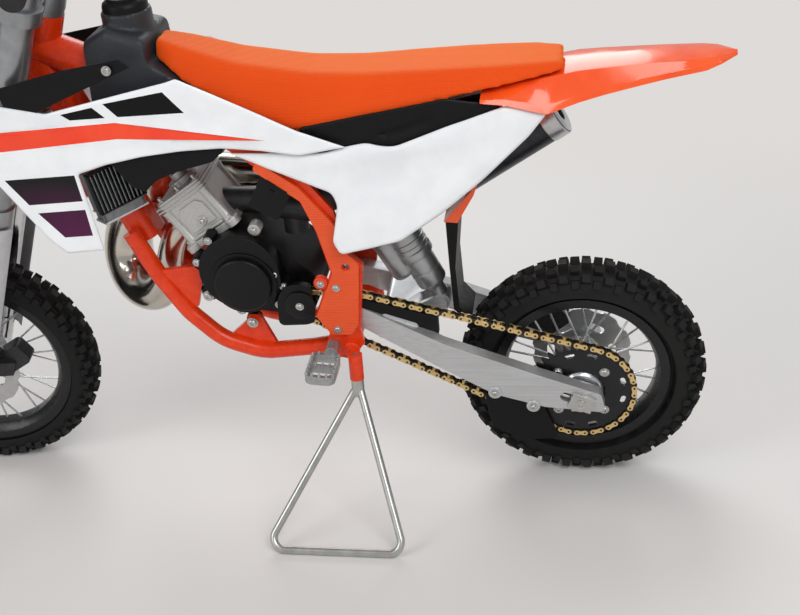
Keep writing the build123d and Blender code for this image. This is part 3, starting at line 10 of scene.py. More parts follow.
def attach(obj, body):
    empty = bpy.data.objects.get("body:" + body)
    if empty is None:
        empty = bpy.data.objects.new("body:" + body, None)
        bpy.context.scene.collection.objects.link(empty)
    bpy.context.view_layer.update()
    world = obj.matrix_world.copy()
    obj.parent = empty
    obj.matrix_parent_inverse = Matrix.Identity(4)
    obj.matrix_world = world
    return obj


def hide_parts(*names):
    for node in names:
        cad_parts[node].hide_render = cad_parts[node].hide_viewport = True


# A children's motocross bike, parked on its plug-in triangle stand.
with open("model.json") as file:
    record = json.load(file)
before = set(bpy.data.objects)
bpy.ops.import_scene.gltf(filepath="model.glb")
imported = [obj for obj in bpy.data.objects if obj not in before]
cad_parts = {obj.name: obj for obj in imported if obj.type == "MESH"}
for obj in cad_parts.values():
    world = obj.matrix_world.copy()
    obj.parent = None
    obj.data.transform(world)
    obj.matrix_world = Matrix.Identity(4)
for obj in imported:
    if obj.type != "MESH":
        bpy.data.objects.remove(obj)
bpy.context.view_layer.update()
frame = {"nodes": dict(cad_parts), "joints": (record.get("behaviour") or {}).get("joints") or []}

# ---------------------------------------------------------------- the bike's own axes
# The bike leans on its stand and its front end is turned, so its pieces are drawn in upright
# frames, in millimetres. The bike's own has its origin on the floor under the rear axle, and
# each wheel has one in its middle.
joints = {joint["name"]: joint for joint in frame["joints"]}
MM = Matrix.Scale(0.001, 4)
REAR_AXLE_Z = 194.0


def axes_frame(x_axis, y_axis, z_axis, origin):
    """The matrix that takes millimetres on three axes to metres in the shared frame."""
    turn = Matrix((x_axis, y_axis, z_axis)).transposed().to_4x4()
    return Matrix.Translation(origin) @ turn @ MM


rear_spin = joints["rear_wheel_spin"]
lateral = Vector(rear_spin["axis"]).normalized()
ahead = Vector((1, 0, 0))
upright = ahead.cross(lateral)
BIKE = axes_frame(ahead, lateral, upright, Vector(rear_spin["pos_m"]) - upright * REAR_AXLE_Z / 1000)
REAR_WHEEL = axes_frame(ahead, lateral, upright, Vector(rear_spin["pos_m"]))

front_spin = joints["front_wheel_spin"]
steering_up = Vector(joints["steering"]["axis"]).normalized()
front_lateral = Vector(front_spin["axis"]).normalized()
front_ahead = front_lateral.cross(steering_up)
FRONT_WHEEL = axes_frame(front_ahead, front_lateral, steering_up, Vector(front_spin["pos_m"]))

# ---------------------------------------------------------------- camera, light and floor
# A standing person's view of the bike's left side, from behind its middle, under the
# soft light of a white showroom.
CAMERA_AT = Vector((rear_spin["pos_m"][0] - 0.0084, 1.5623, 1.0455))
CAMERA_YAW, CAMERA_PITCH, CAMERA_ROLL = 10.086, 23.958, -4.343
LENS_MM, SENSOR_MM = 51.74, 36.0


def in_scene(name, data):
    """A new object that holds this data, linked to the scene."""
    holder = bpy.data.objects.new(name, data)
    bpy.context.scene.collection.objects.link(holder)
    return holder


camera = in_scene("camera", bpy.data.cameras.new("camera"))
camera.data.lens = LENS_MM
camera.data.sensor_width = SENSOR_MM
look = (
    Matrix.Rotation(math.radians(180 + CAMERA_YAW), 4, "Z")
    @ Matrix.Rotation(math.radians(90 - CAMERA_PITCH), 4, "X")
    @ Matrix.Rotation(math.radians(CAMERA_ROLL), 4, "Z")
)
camera.matrix_world = Matrix.Translation(CAMERA_AT) @ look
bpy.context.scene.camera = camera
bpy.context.scene.view_settings.view_transform = "Standard"


def linear(code):
    """A '#rrggbb' sRGB colour as linear red, green, blue and alpha."""
    parts = [int(code[i : i + 2], 16) / 255 for i in (1, 3, 5)]
    return [p / 12.92 if p <= 0.04045 else ((p + 0.055) / 1.055) ** 2.4 for p in parts] + [1.0]


def add_node(tree, kind, inputs=None, **settings):
    """Add a node with its settings; an input is a value or another node's output."""
    made = tree.nodes.new(kind)
    for name, value in settings.items():
        setattr(made, name, value)
    for name, value in (inputs or {}).items():
        if isinstance(value, bpy.types.NodeSocket):
            tree.links.new(value, made.inputs[name])
        else:
            made.inputs[name].default_value = value
    return made


BIKE_MIDDLE = Vector((0, 0, 0.4))


def soft_lamp(name, place, size, power):
    """A square area lamp that points at the middle of the bike."""
    lamp = in_scene(name, bpy.data.lights.new(name, "AREA"))
    lamp.data.size = size
    lamp.data.energy = power
    aim = BIKE_MIDDLE - Vector(place)
    lamp.matrix_world = Matrix.Translation(place) @ aim.to_track_quat("-Z", "Y").to_matrix().to_4x4()


soft_lamp("key_lamp", (-1.8, 2.6, 3.2), 2.2, 72)
soft_lamp("fill_lamp", (2.6, 2.2, 2.2), 2.0, 42)
soft_lamp("back_lamp", (0.4, -3.0, 3.0), 2.4, 60)

# The world lights the bike softly, and the camera sees it as a plain pale wall.
WALL_COLOUR, WORLD_LIGHT = "#dedbd8", 0.55
world = bpy.data.worlds.new("showroom")
bpy.context.scene.world = world
world.use_nodes = True
world_tree = world.node_tree
world_light = world_tree.nodes["Background"]
world_light.inputs["Color"].default_value = linear("#eef0f2")
world_light.inputs["Strength"].default_value = WORLD_LIGHT
world_seen = add_node(world_tree, "ShaderNodeBackground", {"Color": linear(WALL_COLOUR), "Strength": 1.0})
rays = add_node(world_tree, "ShaderNodeLightPath")
world_mix = add_node(
    world_tree,
    "ShaderNodeMixShader",
    {0: rays.outputs["Is Camera Ray"], 1: world_light.outputs[0], 2: world_seen.outputs[0]},
)
world_tree.links.new(world_mix.outputs[0], world_tree.nodes["World Output"].inputs["Surface"])

# Past the bike's shadow the floor runs into the pale wall, which only the camera and
# polished metal see. The change is spread over a metre and a half of floor.
FLOOR_HALF, FADE_START, FADE_END = 30.0, 1.1, 2.6
floor_mesh = bpy.data.meshes.new("floor")
floor_corners = [(x * FLOOR_HALF, y * FLOOR_HALF, 0) for x, y in ((-1, -1), (1, -1), (1, 1), (-1, 1))]
floor_mesh.from_pydata(floor_corners, [], [(0, 1, 2, 3)])
floor = in_scene("floor", floor_mesh)
floor_paint = bpy.data.materials.new("pale_floor")
floor_paint.use_nodes = True
floor_tree = floor_paint.node_tree
floor_shader = floor_tree.nodes["Principled BSDF"]
floor_shader.inputs["Base Color"].default_value = linear(WALL_COLOUR)
floor_shader.inputs["Roughness"].default_value = 0.55
floor_place = add_node(floor_tree, "ShaderNodeTexCoord").outputs["Object"]
floor_reach = add_node(floor_tree, "ShaderNodeVectorMath", {0: floor_place}, operation="LENGTH")
wall_share = add_node(
    floor_tree,
    "ShaderNodeMapRange",
    {"Value": floor_reach.outputs["Value"], "From Min": FADE_START, "From Max": FADE_END},
    interpolation_type="SMOOTHSTEP",
)
floor_rays = add_node(floor_tree, "ShaderNodeLightPath").outputs
seen_rays = add_node(
    floor_tree,
    "ShaderNodeMath",
    {0: floor_rays["Is Camera Ray"], 1: floor_rays["Is Glossy Ray"]},
    operation="MAXIMUM",
)
wall_mask = add_node(
    floor_tree, "ShaderNodeMath", {0: wall_share.outputs[0], 1: seen_rays.outputs[0]}, operation="MULTIPLY"
)
wall_glow = add_node(floor_tree, "ShaderNodeEmission", {"Color": linear(WALL_COLOUR), "Strength": 1.0})
floor_mix = add_node(
    floor_tree,
    "ShaderNodeMixShader",
    {0: wall_mask.outputs[0], 1: floor_shader.outputs[0], 2: wall_glow.outputs[0]},
)
floor_tree.links.new(floor_mix.outputs[0], floor_tree.nodes["Material Output"].inputs["Surface"])
floor_mesh.materials.append(floor_paint)

# ---------------------------------------------------------------- frame
# The frame is welded steel under orange powder coat: a wide pressed backbone, a pressed
# down tube, bent cradles and cut side plates. Its edges are rounded over by the coat.


def new_finish(name):
    """An empty material: it, its tree, its shader and the piece's own coordinates."""
    finish = bpy.data.materials.new(name)
    finish.use_nodes = True
    tree = finish.node_tree
    place = add_node(tree, "ShaderNodeTexCoord").outputs["Object"]
    return finish, tree, tree.nodes["Principled BSDF"], place


def mottled(name, dark, light, rough, grain, bump=0.0, stretch=(1, 1, 1), **constants):
    """A finish of two close tones in a noise, with uneven gloss and a grain in metres."""
    finish, tree, shader, place = new_finish(name)
    scaled = add_node(tree, "ShaderNodeMapping", {"Vector": place, "Scale": stretch})
    noise = add_node(
        tree, "ShaderNodeTexNoise", {"Vector": scaled.outputs[0], "Scale": grain, "Detail": 5.0}
    )
    tones = add_node(tree, "ShaderNodeValToRGB", {"Fac": noise.outputs["Fac"]})
    tones.color_ramp.elements[0].position = 0.36
    tones.color_ramp.elements[0].color = linear(dark)
    tones.color_ramp.elements[1].position = 0.64
    tones.color_ramp.elements[1].color = linear(light)
    tree.links.new(tones.outputs[0], shader.inputs["Base Color"])
    gloss = add_node(
        tree,
        "ShaderNodeMapRange",
        {"Value": noise.outputs["Fac"], "From Min": 0.3, "From Max": 0.7,
         "To Min": rough[0], "To Max": rough[1]},
    )
    tree.links.new(gloss.outputs[0], shader.inputs["Roughness"])
    if bump:
        fine = add_node(
            tree,
            "ShaderNodeTexNoise",
            {"Vector": scaled.outputs[0], "Scale": grain * 2.5, "Detail": 3.0},
        )
        relief = add_node(
            tree, "ShaderNodeBump", {"Height": fine.outputs["Fac"], "Distance": bump, "Strength": 1.0}
        )
        tree.links.new(relief.outputs[0], shader.inputs["Normal"])
    for socket, value in constants.items():
        shader.inputs[socket.replace("_", " ").title().replace("Ior", "IOR")].default_value = value
    return finish


WELD_M, FLAT_DEGREES, SHARP_DEGREES = 2e-6, 0.6, 38


def merged_copy(node):
    """A CAD node's shape with its loose triangles joined and its flat faces made whole."""
    shape = bmesh.new()
    shape.from_mesh(frame["nodes"][node].data)
    bmesh.ops.remove_doubles(shape, verts=shape.verts, dist=WELD_M)
    bmesh.ops.dissolve_limit(
        shape, angle_limit=math.radians(FLAT_DEGREES), verts=shape.verts, edges=shape.edges
    )
    return shape


def meshed(name, shape):
    """A bmesh as a mesh; the bmesh is freed."""
    mesh = bpy.data.meshes.new(name)
    shape.to_mesh(mesh)
    shape.free()
    return mesh


def frozen(holder):
    """The plain mesh that an object's modifiers give; the object is removed."""
    graph = bpy.context.evaluated_depsgraph_get()
    mesh = bpy.data.meshes.new_from_object(holder.evaluated_get(graph), depsgraph=graph)
    bpy.data.objects.remove(holder)
    return mesh


def settled(name, shape, finishes, modifiers=(), smooth=SHARP_DEGREES):
    """Freeze a bmesh and its modifiers, given as (kind, settings), to a smooth-shaded mesh."""
    mesh = meshed(name, shape)
    for finish in finishes:
        mesh.materials.append(finish)
    mesh.shade_smooth()
    mesh.set_sharp_from_angle(angle=math.radians(smooth))
    holder = in_scene(name, mesh)
    for kind, settings in modifiers:
        modifier = holder.modifiers.new(kind.lower(), kind)
        for setting, value in settings.items():
            setattr(modifier, setting, value)
    return frozen(holder)


def place_piece(name, mesh, body, nodes=()):
    """Link a finished mesh as a piece that rides on a body and may stand for CAD nodes."""
    piece = in_scene(name, mesh)
    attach(piece, body)
    if nodes:
        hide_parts(*nodes)
    return piece


def rounding(edge, angle=SHARP_DEGREES, segments=2):
    """A bevel that rounds edges sharper than an angle, by millimetres."""
    settings = {"width": edge / 1000, "segments": segments, "limit_method": "ANGLE"}
    return "BEVEL", settings | {"angle_limit": math.radians(angle), "harden_normals": True}


def edged(slot, finish, body="chassis", **edges):
    """Stand copies of hard CAD nodes in their places, each with its edges rounded."""
    for node, edge in edges.items():
        mesh = settled(node, merged_copy(node), [finish], [rounding(edge)])
        place_piece(f"{node}_finished", mesh, body, [node])


# Powder coat: an even orange with a faint orange-peel that breaks up its highlights.
frame_paint = mottled(
    "orange_powder_coat", "#dc360c", "#e63f10", (0.22, 0.32), 60, 0.00004, specular_ior_level=0.4
)
edged(
    "orange_frame_paint", frame_paint,
    frame_backbone=1.2, down_tube=1.5, cradle_tubes=1.0, frame_plates=1.2,
)

# Satin black paint on the subframe: nearly featureless, with a soft dusty sheen.
satin_black = mottled("satin_black_paint", "#08080a", "#0d0d0f", (0.36, 0.46), 70, specular_ior_level=0.3)
edged("engine_black", satin_black, subframe=0.6)

# Guard plastic: a lighter, flatter orange than the frame, moulded with fine waved ribs
# that give grip and read as a woven grain.
guard_plastic, guard_tree, guard_shader, guard_place = new_finish("ribbed_orange_guard")
guard_noise = add_node(guard_tree, "ShaderNodeTexNoise", {"Vector": guard_place, "Scale": 45.0})
guard_tones = add_node(guard_tree, "ShaderNodeValToRGB", {"Fac": guard_noise.outputs["Fac"]})
guard_tones.color_ramp.elements[0].color = linear("#e94b16")
guard_tones.color_ramp.elements[1].color = linear("#f05a22")
guard_tree.links.new(guard_tones.outputs[0], guard_shader.inputs["Base Color"])
guard_waves = add_node(
    guard_tree,
    "ShaderNodeTexWave",
    {"Vector": guard_place, "Scale": 110.0, "Distortion": 1.6, "Detail": 0.0, "Detail Scale": 1.2},
    bands_direction="Z",
)
guard_relief = add_node(
    guard_tree, "ShaderNodeBump", {"Height": guard_waves.outputs["Fac"], "Distance": 0.0005}
)
guard_tree.links.new(guard_relief.outputs[0], guard_shader.inputs["Normal"])
guard_shader.inputs["Roughness"].default_value = 0.5
edged("orange_guard_plastic", guard_plastic, frame_guards=1.6)

# ---------------------------------------------------------------- swingarm
# The swingarm is a cast and welded aluminium beam on each side, brushed along its length.
# Its adjuster slot, axle plates and bolts are bare steel.
# Brushed alloy: long fine streaks along the arm that spread the highlight across it.
arm_alloy = mottled(
    "brushed_arm_alloy", "#bcbdbe", "#c9cacb", (0.32, 0.46), 300, 0.00001, (0.04, 1, 1), metallic=0.7
)
edged("swingarm_alloy", arm_alloy, swingarm=2.2)

# Machined steel: bright, with close turning marks.
bright_steel = mottled("machined_steel", "#bab9b7", "#c4c3c0", (0.26, 0.31), 60, metallic=0.9)
edged("axle_steel", bright_steel, rear_axle=0.5)
edged("axle_steel", bright_steel, "front_end", front_axle=0.5)

# Matt black moulding: dark, lightly speckled and soft at its edges.
black_plastic = mottled(
    "matt_black_moulding", "#060607", "#0a0a0b", (0.42, 0.54), 120, 0.00004, specular_ior_level=0.22
)
edged("black_plastic", black_plastic, chain_guides=0.8, mud_flap=0.8, airbox=1.5)

# ---------------------------------------------------------------- engine
# A small two-stroke: a black crankcase with bolted covers, a bare cast cylinder and head
# that lean forward, and a carburettor behind. Castings are sand-blasted, covers painted.
# Painted casting: near-black with a slight cast grain.
engine_paint = mottled(
    "black_cast_paint", "#070708", "#0c0c0d", (0.36, 0.48), 160, 0.00008, specular_ior_level=0.25
)
edged(
    "engine_black", engine_paint,
    engine_case=2.0, clutch_cover=1.5, ignition_cover=1.5, sprocket_cover=1.2, ignition_coil=1.0,
)

# Blasted aluminium: pale grey with a fine sparkle and no clear reflection.
cast_alloy = mottled("blasted_cast_alloy", "#b9b8b5", "#c8c7c3", (0.4, 0.52), 420, 0.00004, metallic=0.6)
edged("cylinder_alloy", cast_alloy, cylinder=2.0)
# Zinc casting: dark grey, oil-stained in patches.
zinc_casting = mottled("dark_zinc_casting", "#2b2c2e", "#3b3c3e", (0.42, 0.52), 60, metallic=0.4)
edged("cylinder_alloy", zinc_casting, carburettor=0.8)
edged("axle_steel", bright_steel, kick_starter=0.6)

# ---------------------------------------------------------------- exhaust
# The expansion pipe is nickel-plated pressed steel, welded along its length; the silencer
# is a dark anodised sleeve between light caps.
# Nickel plate: a warm mirror, blurred a little where heat has stained it.
nickel_plate = mottled("nickel_plate", "#bfb8ad", "#cfc9bf", (0.12, 0.2), 16, metallic=1.0)
edged("nickel_pipe", nickel_plate, exhaust_pipe=0.3)
# Dark anodising: a graphite metal with a satin edge to its highlight.
dark_anodised = mottled("dark_anodised_sleeve", "#303236", "#3c3f44", (0.3, 0.42), 90, metallic=0.7)
edged("silencer_alloy", dark_anodised, silencer=1.2)

# ---------------------------------------------------------------- radiator
# The radiator is a brazed aluminium core between two tanks. It hangs on the left of the
# down tube, behind black louvres that come later.
# Radiator alloy: dull grey, oxidised in patches.
core_alloy = mottled("radiator_alloy", "#77797b", "#8d8f91", (0.4, 0.52), 140, metallic=0.8)
edged("radiator_alloy", core_alloy, radiator=0.8)

# ---------------------------------------------------------------- stand and pegs
# The stand is one zinc-plated steel rod bent to a triangle, plugged into a socket on the
# frame. The pegs are steel castings, pinned to the frame under the engine.
# Zinc plate: cool grey with a blotchy, half-bright surface.
zinc_plate = mottled("zinc_plate", "#b0b0ac", "#bebeb9", (0.27, 0.33), 60, metallic=0.9)
edged("stand_zinc", zinc_plate, plug_stand=0.4)
# Peg casting: rough light grey, with a pitted surface.
peg_casting = mottled("grey_peg_casting", "#9b9c9d", "#b2b3b3", (0.36, 0.5), 260, 0.00008, metallic=0.7)
edged("peg_cast", peg_casting, footpegs=1.2)

# ---------------------------------------------------------------- brakes
# Calipers are dark aluminium castings, bolted to the arm and to the fork. The discs are
# laser-cut steel, screwed to the hubs.
# Dark casting: charcoal, with the sand's grain under its finish.
caliper_casting = mottled(
    "dark_caliper_casting", "#2b2b2d", "#38383a", (0.36, 0.5), 180, 0.00008, metallic=0.4
)
edged("caliper_metal", caliper_casting, rear_caliper=1.0)
edged("caliper_metal", caliper_casting, "front_end", front_caliper=1.0)
# Ground steel: bright and even, a little blurred.
disc_steel = mottled("ground_disc_steel", "#b9baba", "#c4c5c5", (0.27, 0.31), 60, metallic=0.9)
edged("disc_steel", disc_steel, "rear_wheel", rear_disc=0.3)
edged("disc_steel", disc_steel, "front_wheel", front_disc=0.3)

# ---------------------------------------------------------------- wheels' metal
# Rims are black anodised extrusions. Hubs are turned alloy, laced to them with plain steel
# spokes, and the rear one carries a hard-anodised sprocket.
# Black anodising: deep and even, with a thin bright line on each lip.
rim_black = mottled("black_anodised_rim", "#0c0c0e", "#121214", (0.25, 0.34), 120, specular_ior_level=0.4)
# Turned alloy: bright silver, with a soft even highlight.
turned_alloy = mottled("turned_silver_alloy", "#bfc0c1", "#cbccce", (0.25, 0.31), 80, metallic=0.85)
for wheel in ("rear", "front"):
    edged("rim_black", rim_black, f"{wheel}_wheel", **{f"{wheel}_rim": 0.6})
    edged("hub_silver", turned_alloy, f"{wheel}_wheel", **{f"{wheel}_hub": 0.5})
# Hard anodising: a greyer, flatter black than the rims.
sprocket_black = mottled(
    "black_hard_anodised", "#0d0d0f", "#151518", (0.3, 0.42), 150, specular_ior_level=0.4
)
edged("sprocket_black", sprocket_black, "rear_wheel", rear_sprocket=0.5)

# ---------------------------------------------------------------- fork and bars
# Upside-down fork legs in machined clamps, with moulded guards over their sliders, a black
# one-piece bar and moulded grips. The front fender and blank number plate are bolted on.
# Fork anodising: grey satin tubes with faint lengthwise drawing marks.
fork_alloy = mottled("anodised_fork_tube", "#96989b", "#a2a4a7", (0.28, 0.34), 50, metallic=0.8)
edged("fork_silver", fork_alloy, "front_end", fork_tubes=0.8)
# Hard chrome: a clean mirror.
hard_chrome = mottled("hard_chrome", "#c4c5c6", "#d2d3d4", (0.06, 0.12), 60, metallic=1.0)
edged("slider_chrome", hard_chrome, "front_end", fork_sliders=0.8)
# Machined alloy: a darker grey, with a broad soft highlight.
clamp_alloy = mottled("machined_clamp_alloy", "#8f9194", "#9c9ea1", (0.32, 0.38), 50, metallic=0.8)
edged("clamp_alloy", clamp_alloy, "front_end", triple_clamps=1.5)
edged("bar_black", satin_black, "front_end", handlebar=0.5)
# Grip rubber: charcoal and matt, with a fine grain.
grip_rubber = mottled("grip_rubber", "#161617", "#202022", (0.6, 0.75), 200, 0.0001)
edged("grip_rubber", grip_rubber, "front_end", grips=0.8)
edged("clamp_alloy", clamp_alloy, "front_end", levers=0.6)
# Grey guard plastic: pale and satin, with faint cloudy tones.
grey_plastic = mottled("pale_grey_plastic", "#bbbdc1", "#c3c5c8", (0.42, 0.46), 90)
edged("grey_plastic", grey_plastic, "front_end", fork_guards=0.8)
# Glossy moulding: clean colour under a hard clear reflection.
orange_gloss = mottled(
    "gloss_orange_moulding", "#f5521a", "#fa5d20", (0.12, 0.2), 30, 0.00002, coat_weight=0.3
)
white_gloss = mottled(
    "gloss_white_moulding", "#eceef1", "#f2f4f6", (0.12, 0.2), 30, 0.00002, coat_weight=0.3
)
edged("orange_gloss_plastic", orange_gloss, "front_end", front_fender=1.5)
edged("white_gloss_plastic", white_gloss, "front_end", number_plate=1.5)

# ---------------------------------------------------------------- bodywork panels
# The side panels and shrouds are injection-moulded shells, 3 mm thick, with rolled edges
# and soft creases. Stripe film covers parts of them. Each is drawn flat in side view and
# then bent to the bike's flank.


def edge_distance(point, outline):
    """The distance from a point to the nearest side of a closed outline."""
    nearest = 1e9
    for start, end in zip(outline, outline[1:] + outline[:1]):
        run = (end[0] - start[0], end[1] - start[1])
        reach = run[0] ** 2 + run[1] ** 2
        share = ((point[0] - start[0]) * run[0] + (point[1] - start[1]) * run[1]) / reach
        share = min(max(share, 0), 1)
        gap = math.dist(point, (start[0] + share * run[0], start[1] + share * run[1]))
        nearest = min(nearest, gap)
    return nearest


def inside(point, outline):
    """Whether a point lies in a closed outline, by counting crossings."""
    found = False
    for start, end in zip(outline, outline[1:] + outline[:1]):
        if (start[1] > point[1]) != (end[1] > point[1]):
            crossing = start[0] + (point[1] - start[1]) * (end[0] - start[0]) / (end[1] - start[1])
            if point[0] < crossing:
                found = not found
    return found


def eased(outline, radius):
    """An outline with each corner cut back to a short quadratic curve."""
    curve = []
    count = len(outline)
    for index, corner in enumerate(outline):
        corner = Vector(corner)
        for other, order in ((Vector(outline[index - 1]), 0), (Vector(outline[(index + 1) % count]), 1)):
            run = other - corner
            arm = corner + run.normalized() * min(radius, run.length * 0.4)
            if order == 0:
                first = arm
            else:
                for step in range(5):
                    share = step / 4
                    curve.append(
                        first * (1 - share) ** 2 + corner * 2 * share * (1 - share) + arm * share**2
                    )
    even = []
    for start, end in zip(curve, curve[1:] + curve[:1]):
        parts = max(round((end - start).length / 4), 1)
        even += [tuple(start.lerp(end, part / parts)) for part in range(parts)]
    return even


def smooth_plan(plan, x):
    """The flank's half width at x: a smooth curve through the plan's points."""
    for index in range(len(plan) - 1):
        if x <= plan[index + 1][0] or index == len(plan) - 2:
            break
    before = plan[max(index - 1, 0)]
    start, end = plan[index], plan[index + 1]
    after = plan[min(index + 2, len(plan) - 1)]
    span = end[0] - start[0]
    share = (x - start[0]) / span
    slope_in = (end[1] - before[1]) / (end[0] - before[0]) * span
    slope_out = (after[1] - start[1]) / (after[0] - start[0]) * span
    square, cube = share**2, share**3
    return (
        start[1] * (2 * cube - 3 * square + 1)
        + slope_in * (cube - 2 * square + share)
        + end[1] * (3 * square - 2 * cube)
        + slope_out * (cube - square)
    )


def moulded_panel(outline, stripes, surface, roll=(5.0, 2.6), pitch=7.0):
    """A bmesh of a panel's outer skin, whose edge rolls in over a reach and by a depth.
    Each face's material is its stripe's place plus one."""
    reach, fall = roll
    low_x, high_x = min(p[0] for p in outline), max(p[0] for p in outline)
    low_z, high_z = min(p[1] for p in outline), max(p[1] for p in outline)
    points = [Vector(p) for p in outline]
    edges = [(i, (i + 1) % len(outline)) for i in range(len(outline))]
    for stripe in stripes:
        first = len(points)
        points += [Vector(p) for p in stripe]
        edges += [(first + i, first + (i + 1) % len(stripe)) for i in range(len(stripe))]
    # A staggered grid of points fills the flat, and rows of points follow the rolled edge.
    for column in range(int((high_x - low_x) / pitch) + 1):
        for row in range(int((high_z - low_z) / pitch) + 1):
            shift = 0.5 * pitch * (row % 2)
            point = (low_x + column * pitch + shift, low_z + row * pitch)
            if inside(point, outline) and edge_distance(point, outline) > 1.1 * reach + 0.5 * pitch:
                points.append(Vector(point))
    for depth in (reach * 0.2, reach * 0.45, reach * 0.75, reach * 1.1):
        for index, corner in enumerate(outline):
            before, after = Vector(outline[index - 1]), Vector(outline[(index + 1) % len(outline)])
            along = (after - before).normalized()
            for side in (1, -1):
                point = Vector(corner) + Vector((-along.y, along.x)) * depth * side
                if inside(point, outline) and edge_distance(point, outline) > 0.9 * depth:
                    points.append(point)
    verts, _, faces, *_ = delaunay_2d_cdt(points, edges, [list(range(len(outline)))], 1, 0.01)
    skin = bmesh.new()
    made = []
    for x, z in verts:
        depth = min(edge_distance((x, z), outline) / reach, 1)
        made.append(skin.verts.new((x, surface(x, z) - fall * (1 - depth) ** 2, z)))
    for face in faces:
        middle = [sum(verts[i][axis] for i in face) / len(face) for axis in (0, 1)]
        drawn = skin.faces.new([made[i] for i in face])
        for number, stripe in enumerate(stripes):
            if inside(middle, stripe):
                drawn.material_index = number + 1
    bmesh.ops.recalc_face_normals(skin, faces=skin.faces)
    if sum(face.normal.y for face in skin.faces) < 0:
        bmesh.ops.reverse_faces(skin, faces=skin.faces)
    return skin


def mirrored(shape):
    """The same bmesh on the bike's other side."""
    other = shape.copy()
    bmesh.ops.scale(other, vec=(1, -1, 1), verts=other.verts)
    bmesh.ops.reverse_faces(other, faces=other.faces)
    return other


def panel_piece(name, skin, finishes, nodes, wall=2.6):
    """Give a skin its wall and place it on the chassis."""
    skin.transform(BIKE)
    thickness = {"thickness": wall / 1000, "offset": -1.0, "use_even_offset": False}
    steps = [("SOLIDIFY", thickness), ("WEIGHTED_NORMAL", {"keep_sharp": True, "weight": 80})]
    mesh = settled(name, skin, finishes, steps, 50)
    return place_piece(name, mesh, "chassis", nodes)


def ridge(x, z, start, end, width):
    """How near a point is to a crease line, from 0 to 1, fading at the line's ends."""
    run = (end[0] - start[0], end[1] - start[1])
    reach = run[0] ** 2 + run[1] ** 2
    share = min(max(((x - start[0]) * run[0] + (z - start[1]) * run[1]) / reach, 0), 1)
    gap = math.dist((x, z), (start[0] + share * run[0], start[1] + share * run[1]))
    return math.exp(-((gap / width) ** 2)) * math.sin(math.pi * min(max(share, 0.04), 0.96)) ** 0.5


SHROUD_LOW, SHROUD_TILT, SHROUD_INSET = 470.0, 0.12, 0.6
SHROUD_PLAN = [(300, 118), (400, 120), (520, 123), (700, 138), (800, 150), (890, 157)]
SHROUD_EDGE = [
    (318, 627), (384, 652), (546, 732), (560, 728), (736, 696), (800, 712), (872, 712), (858, 660),
    (826, 602), (766, 511), (744, 488), (689, 489), (706, 606), (664, 617), (612, 625), (556, 629),
    (496, 630), (440, 625), (385, 617),
]


def shroud_surface(x, z):
    """The shroud's outer face: pressed in along its lower roll and over its front blade."""
    flank = smooth_plan(SHROUD_PLAN, x) - SHROUD_TILT * (z - SHROUD_LOW)
    lower_roll = 3.2 * ridge(x, z, (372, 627), (712, 640), 10)
    blade = 2.0 * ridge(x, z, (430, 676), (760, 668), 16)
    return flank - SHROUD_INSET - (lower_roll + blade)


# Stripe film, in this bike's own layout: one long spear, a long and a short leaning bar
# over it, and two level bars down the lower blade.
orange_spear = [(852, 674), (842, 646), (640, 654), (430, 641), (640, 677)]
leaning_bars = [
    [(540, 685), (634, 685), (652, 705), (566, 716)],
    [(652, 685), (702, 685), (714, 694), (668, 701)],
]
level_bars = [
    [(711, 606), (812, 606), (784, 567), (706, 567)],
    [(705, 554), (774, 554), (742, 514), (701, 514)],
]

# Printed film is glossier than the moulding and has almost no texture.
orange_film = mottled("orange_stripe_film", "#f23a12", "#f6441a", (0.1, 0.16), 20, coat_weight=0.3)
black_film = mottled("black_stripe_film", "#050507", "#08080a", (0.14, 0.2), 20, specular_ior_level=0.2)
# Plum film fades to black upwards, over a band of the bike's height in metres, so the bars
# read as a printed gradient.
FADE_LOW_Z, FADE_HIGH_Z = 0.49, 0.60
plum_film, plum_tree, plum_shader, plum_place = new_finish("plum_gradient_film")
plum_noise = add_node(plum_tree, "ShaderNodeTexNoise", {"Vector": plum_place, "Scale": 14.0})
plum_axes = add_node(plum_tree, "ShaderNodeSeparateXYZ", {"Vector": plum_place})
plum_drift = add_node(
    plum_tree, "ShaderNodeMath", {0: plum_noise.outputs["Fac"], 1: 0.05}, operation="MULTIPLY"
)
plum_level = add_node(
    plum_tree, "ShaderNodeMath", {0: plum_axes.outputs["Z"], 1: plum_drift.outputs[0]}, operation="ADD"
)
plum_fade = add_node(
    plum_tree,
    "ShaderNodeMapRange",
    {"Value": plum_level.outputs[0], "From Min": FADE_LOW_Z, "From Max": FADE_HIGH_Z},
)
plum_tones = add_node(plum_tree, "ShaderNodeValToRGB", {"Fac": plum_fade.outputs[0]})
plum_tones.color_ramp.elements[0].color = linear("#5a0f48")
plum_tones.color_ramp.elements[1].color = linear("#0b0b0f")
plum_tree.links.new(plum_tones.outputs[0], plum_shader.inputs["Base Color"])
plum_shader.inputs["Roughness"].default_value = 0.14
plum_shader.inputs["Specular IOR Level"].default_value = 0.3

SHROUD_STRIPES = [orange_spear, *leaning_bars, *level_bars]
SHROUD_FINISHES = [white_gloss, orange_film] + [black_film] * 2 + [plum_film] * 2
shroud_skin = moulded_panel(eased(SHROUD_EDGE, 4), SHROUD_STRIPES, shroud_surface)
for side, skin in (("left", shroud_skin), ("right", mirrored(shroud_skin))):
    panel_piece(
        f"shroud_{side}_moulding", skin, SHROUD_FINISHES, [f"shroud_{side}"]
    )

